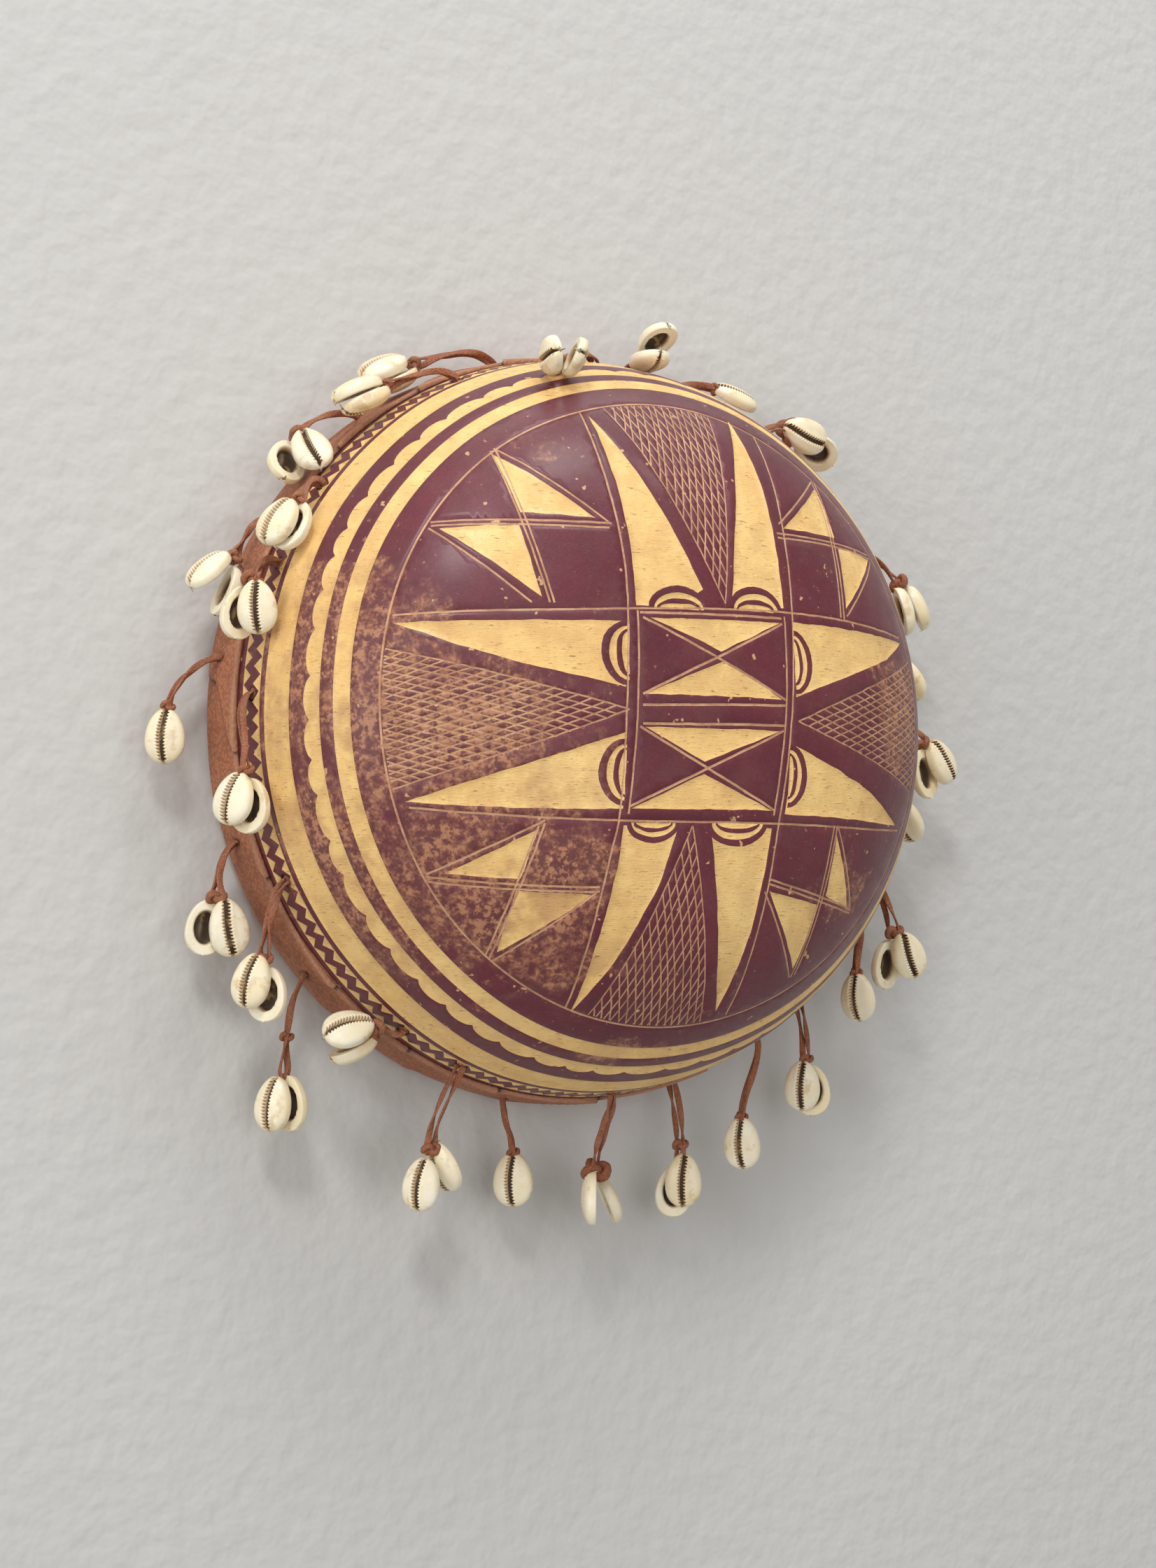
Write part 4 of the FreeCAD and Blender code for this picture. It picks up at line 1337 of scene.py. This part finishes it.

# %% [markdown]
# The scraper left fine level streaks in the flesh, so their noise is squashed in height. The finish of each
# face then picks stain, flesh, cut or hole; a hole is painted near black as the shade inside it.

# %% Scraped flesh, and all of it together
streak_place = add(tree, "Mapping", {"Vector": place, "Scale": (260.0, 260.0, 1700.0)}).outputs[0]
streak = noise(tree, streak_place, 1.0, 3.0, 0.6)
smudged = calc(tree, "MULTIPLY", worn, between(tree, broad_patches, 0.44, 0.64))
flesh = layered(
    tree, mixed(tree, cloud, (244, 198, 124), (254, 216, 142)), (small, 0.35, (214, 164, 104)),
    (between(tree, streak, 0.6, 0.72), 0.75, (150, 88, 66)), (smudged, 0.6, (172, 116, 84)))
incised = mixed(tree, small, (216, 170, 130), (190, 138, 104))
# A hole is painted near black, the shade inside it.
colour = layered(
    tree, stain, (scraped, 1.0, flesh), (is_cut, 1.0, incised), (is_hole, 1.0, (40, 24, 20)))
shader = tree.nodes["Principled BSDF"]
shader.inputs["Specular IOR Level"].default_value = 0.38
shader.inputs["Coat Weight"].default_value = 0.28
shader.inputs["Coat Roughness"].default_value = 0.25
handled = scaled(tree, worn, 0.15, scaled(tree, small, 0.1, 0.36))
pores = scaled(tree, streak, scaled(tree, scraped, 0.6, 0.1), scaled(tree, tiny, 0.5))
dress([gourd], material, place, colour, 0.05, scaled(tree, scraped, 0.26, handled), pores, 0.00035)

# %% [markdown]
# ### Leather
# The skin is brown leather, stretched wet and glued, with a pebbled grain, darkened with painted shade
# along the edges of its tongues and in its slits, and paler where a tongue's edge is rubbed.

# %% Skin material
material, tree, place = new_material("drum_leather")
cloud = use(tree, blotches, Place=place, Size=0.03, Edge=0.16)["Mask"]
small = use(tree, blotches, Place=place, Size=0.006, Edge=0.12)["Mask"]
pebbles = use(tree, grain, Place=place, Size=0.0016)
# The crease value lays near-black painted shade along the tongues' edges and in the slits.
colour = layered(
    tree, mixed(tree, cloud, (172, 100, 62), (190, 118, 78)), (small, 0.35, (184, 122, 90)),
    (between(tree, pebbles["Height"], 0.5, 0.25), 0.4, (92, 50, 36)),
    (value_of(tree, "edge"), 0.5, (196, 148, 116)), (value_of(tree, "crease_shade"), 1.0, (52, 27, 20)))
gloss = scaled(tree, pebbles["Tone"], 0.25, 0.5)
dress([skin], material, place, colour, 0.1, gloss, pebbles["Height"], 0.0003)

# %% [markdown]
# The thongs are thinner strips of the same kind: stiff, uneven and lighter in patches. The knots behind the
# holes, which come ready from the solids, are of the same strips.

# %% Thong material
material, tree, place = new_material("thong_leather")
cloud = use(tree, blotches, Place=place, Size=0.012, Edge=0.16)["Mask"]
fibres = use(tree, grain, Place=place, Size=0.0007)
colour = layered(
    tree, mixed(tree, cloud, (150, 84, 56), (174, 106, 72)),
    (between(tree, fibres["Tone"], 0.5, 0.7), 0.4, (196, 142, 104)),
    (between(tree, fibres["Height"], 0.42, 0.2), 0.5, (96, 56, 40)))
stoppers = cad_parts["stopper_knots"]
stoppers.data.materials.clear()
gloss = scaled(tree, fibres["Tone"], 0.2, 0.62)
dress(straps + knots + [stoppers], material, place, colour, 0.2, gloss, fibres["Height"], 0.0003)

# %% [markdown]
# ### Cowrie shell
# A cowrie's face is a hard, glossy ivory. Old ones yellow unevenly. Between the teeth and in the open back
# the colour turns brown and near black, painted shade with some grime. Each shell has its own tint.

# %% Shell material
material, tree, place = new_material("cowrie")
grime_and_shade, tint = value_of(tree, "grime_and_shade"), value_of(tree, "tint")
cloud = use(tree, blotches, Place=place, Size=0.008, Edge=0.16)["Mask"]
fine = use(tree, blotches, Place=place, Size=0.0022, Edge=0.1)["Fine"]
yellowed = scaled(tree, cloud, 0.55, scaled(tree, tint, 0.4))
spots = between(tree, noise(tree, place, 150.0, 3.0, 0.6), 0.56, 0.7)
# A high grime-and-shade value paints the slit, the tooth gaps and the hollow brown and then near black:
# painted shade with some grime.
colour = layered(
    tree, mixed(tree, yellowed, (255, 249, 228), (244, 224, 176)),
    (between(tree, grime_and_shade, 0.12, 0.6), 0.8, (206, 160, 108)),
    (between(tree, grime_and_shade, 0.4, 0.85), 0.96, (52, 38, 28)), (spots, 0.5, (206, 172, 118)))
gloss = scaled(tree, grime_and_shade, 0.4, scaled(tree, cloud, 0.12, 0.2))
dress(shell_pieces, material, place, colour, 0.04, gloss, fine, 0.00006)

# %% [markdown]
# ## The wall
# The drum hangs on a plain pale wall. The wall can be seen through from behind, so that the drum's
# back can be looked at too. It also lets through any ray that started about a centimetre away or
# less, or else the back, which nearly touches the wall, would get no light at all.

# %% Wall
WALL_SIZE, WALL_PLACE, CLEAR_NEAR = 3.0, 0.0015, 0.012
corners = np.array([[-1, 1], [1, 1], [1, -1], [-1, -1]]) * WALL_SIZE
wall_points = np.column_stack([corners[:, 0], np.full(4, WALL_PLACE), corners[:, 1]])
wall = new_piece("wall", wall_points, np.array([[3, 2, 1, 0]]), smooth=False)
wall_paint, tree, place = new_material("wall_paint")
shader = tree.nodes["Principled BSDF"]
cloud = use(tree, blotches, Place=place, Size=0.35, Edge=0.4)["Mask"]
paint = mixed(tree, cloud, (207, 206, 203), (203, 202, 199))
tree.links.new(paint, shader.inputs["Base Color"])
shader.inputs["Roughness"].default_value = 0.9
bump(tree, shader, noise(tree, place, 110.0, 2.0, 0.5), 0.0011)
clear = add(tree, "BsdfTransparent").outputs[0]
behind = add(tree, "NewGeometry").outputs["Backfacing"]
near = calc(tree, "LESS_THAN", add(tree, "LightPath").outputs["Ray Length"], CLEAR_NEAR)
hidden = calc(tree, "MAXIMUM", behind, near)
seen = add(tree, "MixShader", {0: hidden, 1: shader.outputs[0], 2: clear}).outputs[0]
tree.links.new(seen, tree.nodes["Material Output"].inputs["Surface"])
wall.data.materials.append(wall_paint)
print("wall", 2 * WALL_SIZE, "m wide, at y =", WALL_PLACE)

# %% [markdown]
# ## The light
# Three soft lamps hang above and before the drum: the strongest on the left, one over the middle,
# and a weak one on the right. Two larger ones at the left and in front and an even sky keep the
# shadows open, and one close to the wall above the drum puts a sheen along its top.

# %% Lamps and sky
LAMP_COLOUR, DRUM_MIDDLE = (1.0, 0.995, 0.985), (0.0, -0.05, 0.0)


def lamp(name, place, aim, size, watts):
    """A square area lamp that faces a point."""
    light = bpy.data.lights.new(name, "AREA")
    light.size = size
    light.energy = watts
    light.color = LAMP_COLOUR
    holder = bpy.data.objects.new(name, light)
    holder.location = place
    holder.rotation_euler = (Vector(aim) - Vector(place)).to_track_quat("-Z", "Y").to_euler()
    scene.collection.objects.link(holder)


LAMPS = [
    ("upper_left", (-1.1, -1.6, 1.8), DRUM_MIDDLE, 0.5, 22.0),
    ("upper_right", (1.0, -1.4, 2.1), DRUM_MIDDLE, 0.5, 5.0),
    ("above", (0.1, -1.1, 2.2), DRUM_MIDDLE, 0.6, 13.5),
    ("left_wall", (-2.2, -1.3, 0.2), DRUM_MIDDLE, 1.6, 19.0),
    ("front", (0.0, -2.4, 0.0), DRUM_MIDDLE, 1.6, 9.0),
    ("wall_glow", (0.15, -0.03, 0.75), (0.15, -1.0, 0.5), 0.7, 5.0),
]
for name, place, aim, size, watts in LAMPS:
    lamp(name, place, aim, size, watts)
world = bpy.data.worlds.new("room")
scene.world = world
world.use_nodes = True
sky = world.node_tree.nodes["Background"]
sky.inputs["Color"].default_value = (1.0, 0.99, 0.975, 1.0)
sky.inputs["Strength"].default_value = 0.38
print(len(LAMPS), "lamps and the sky")
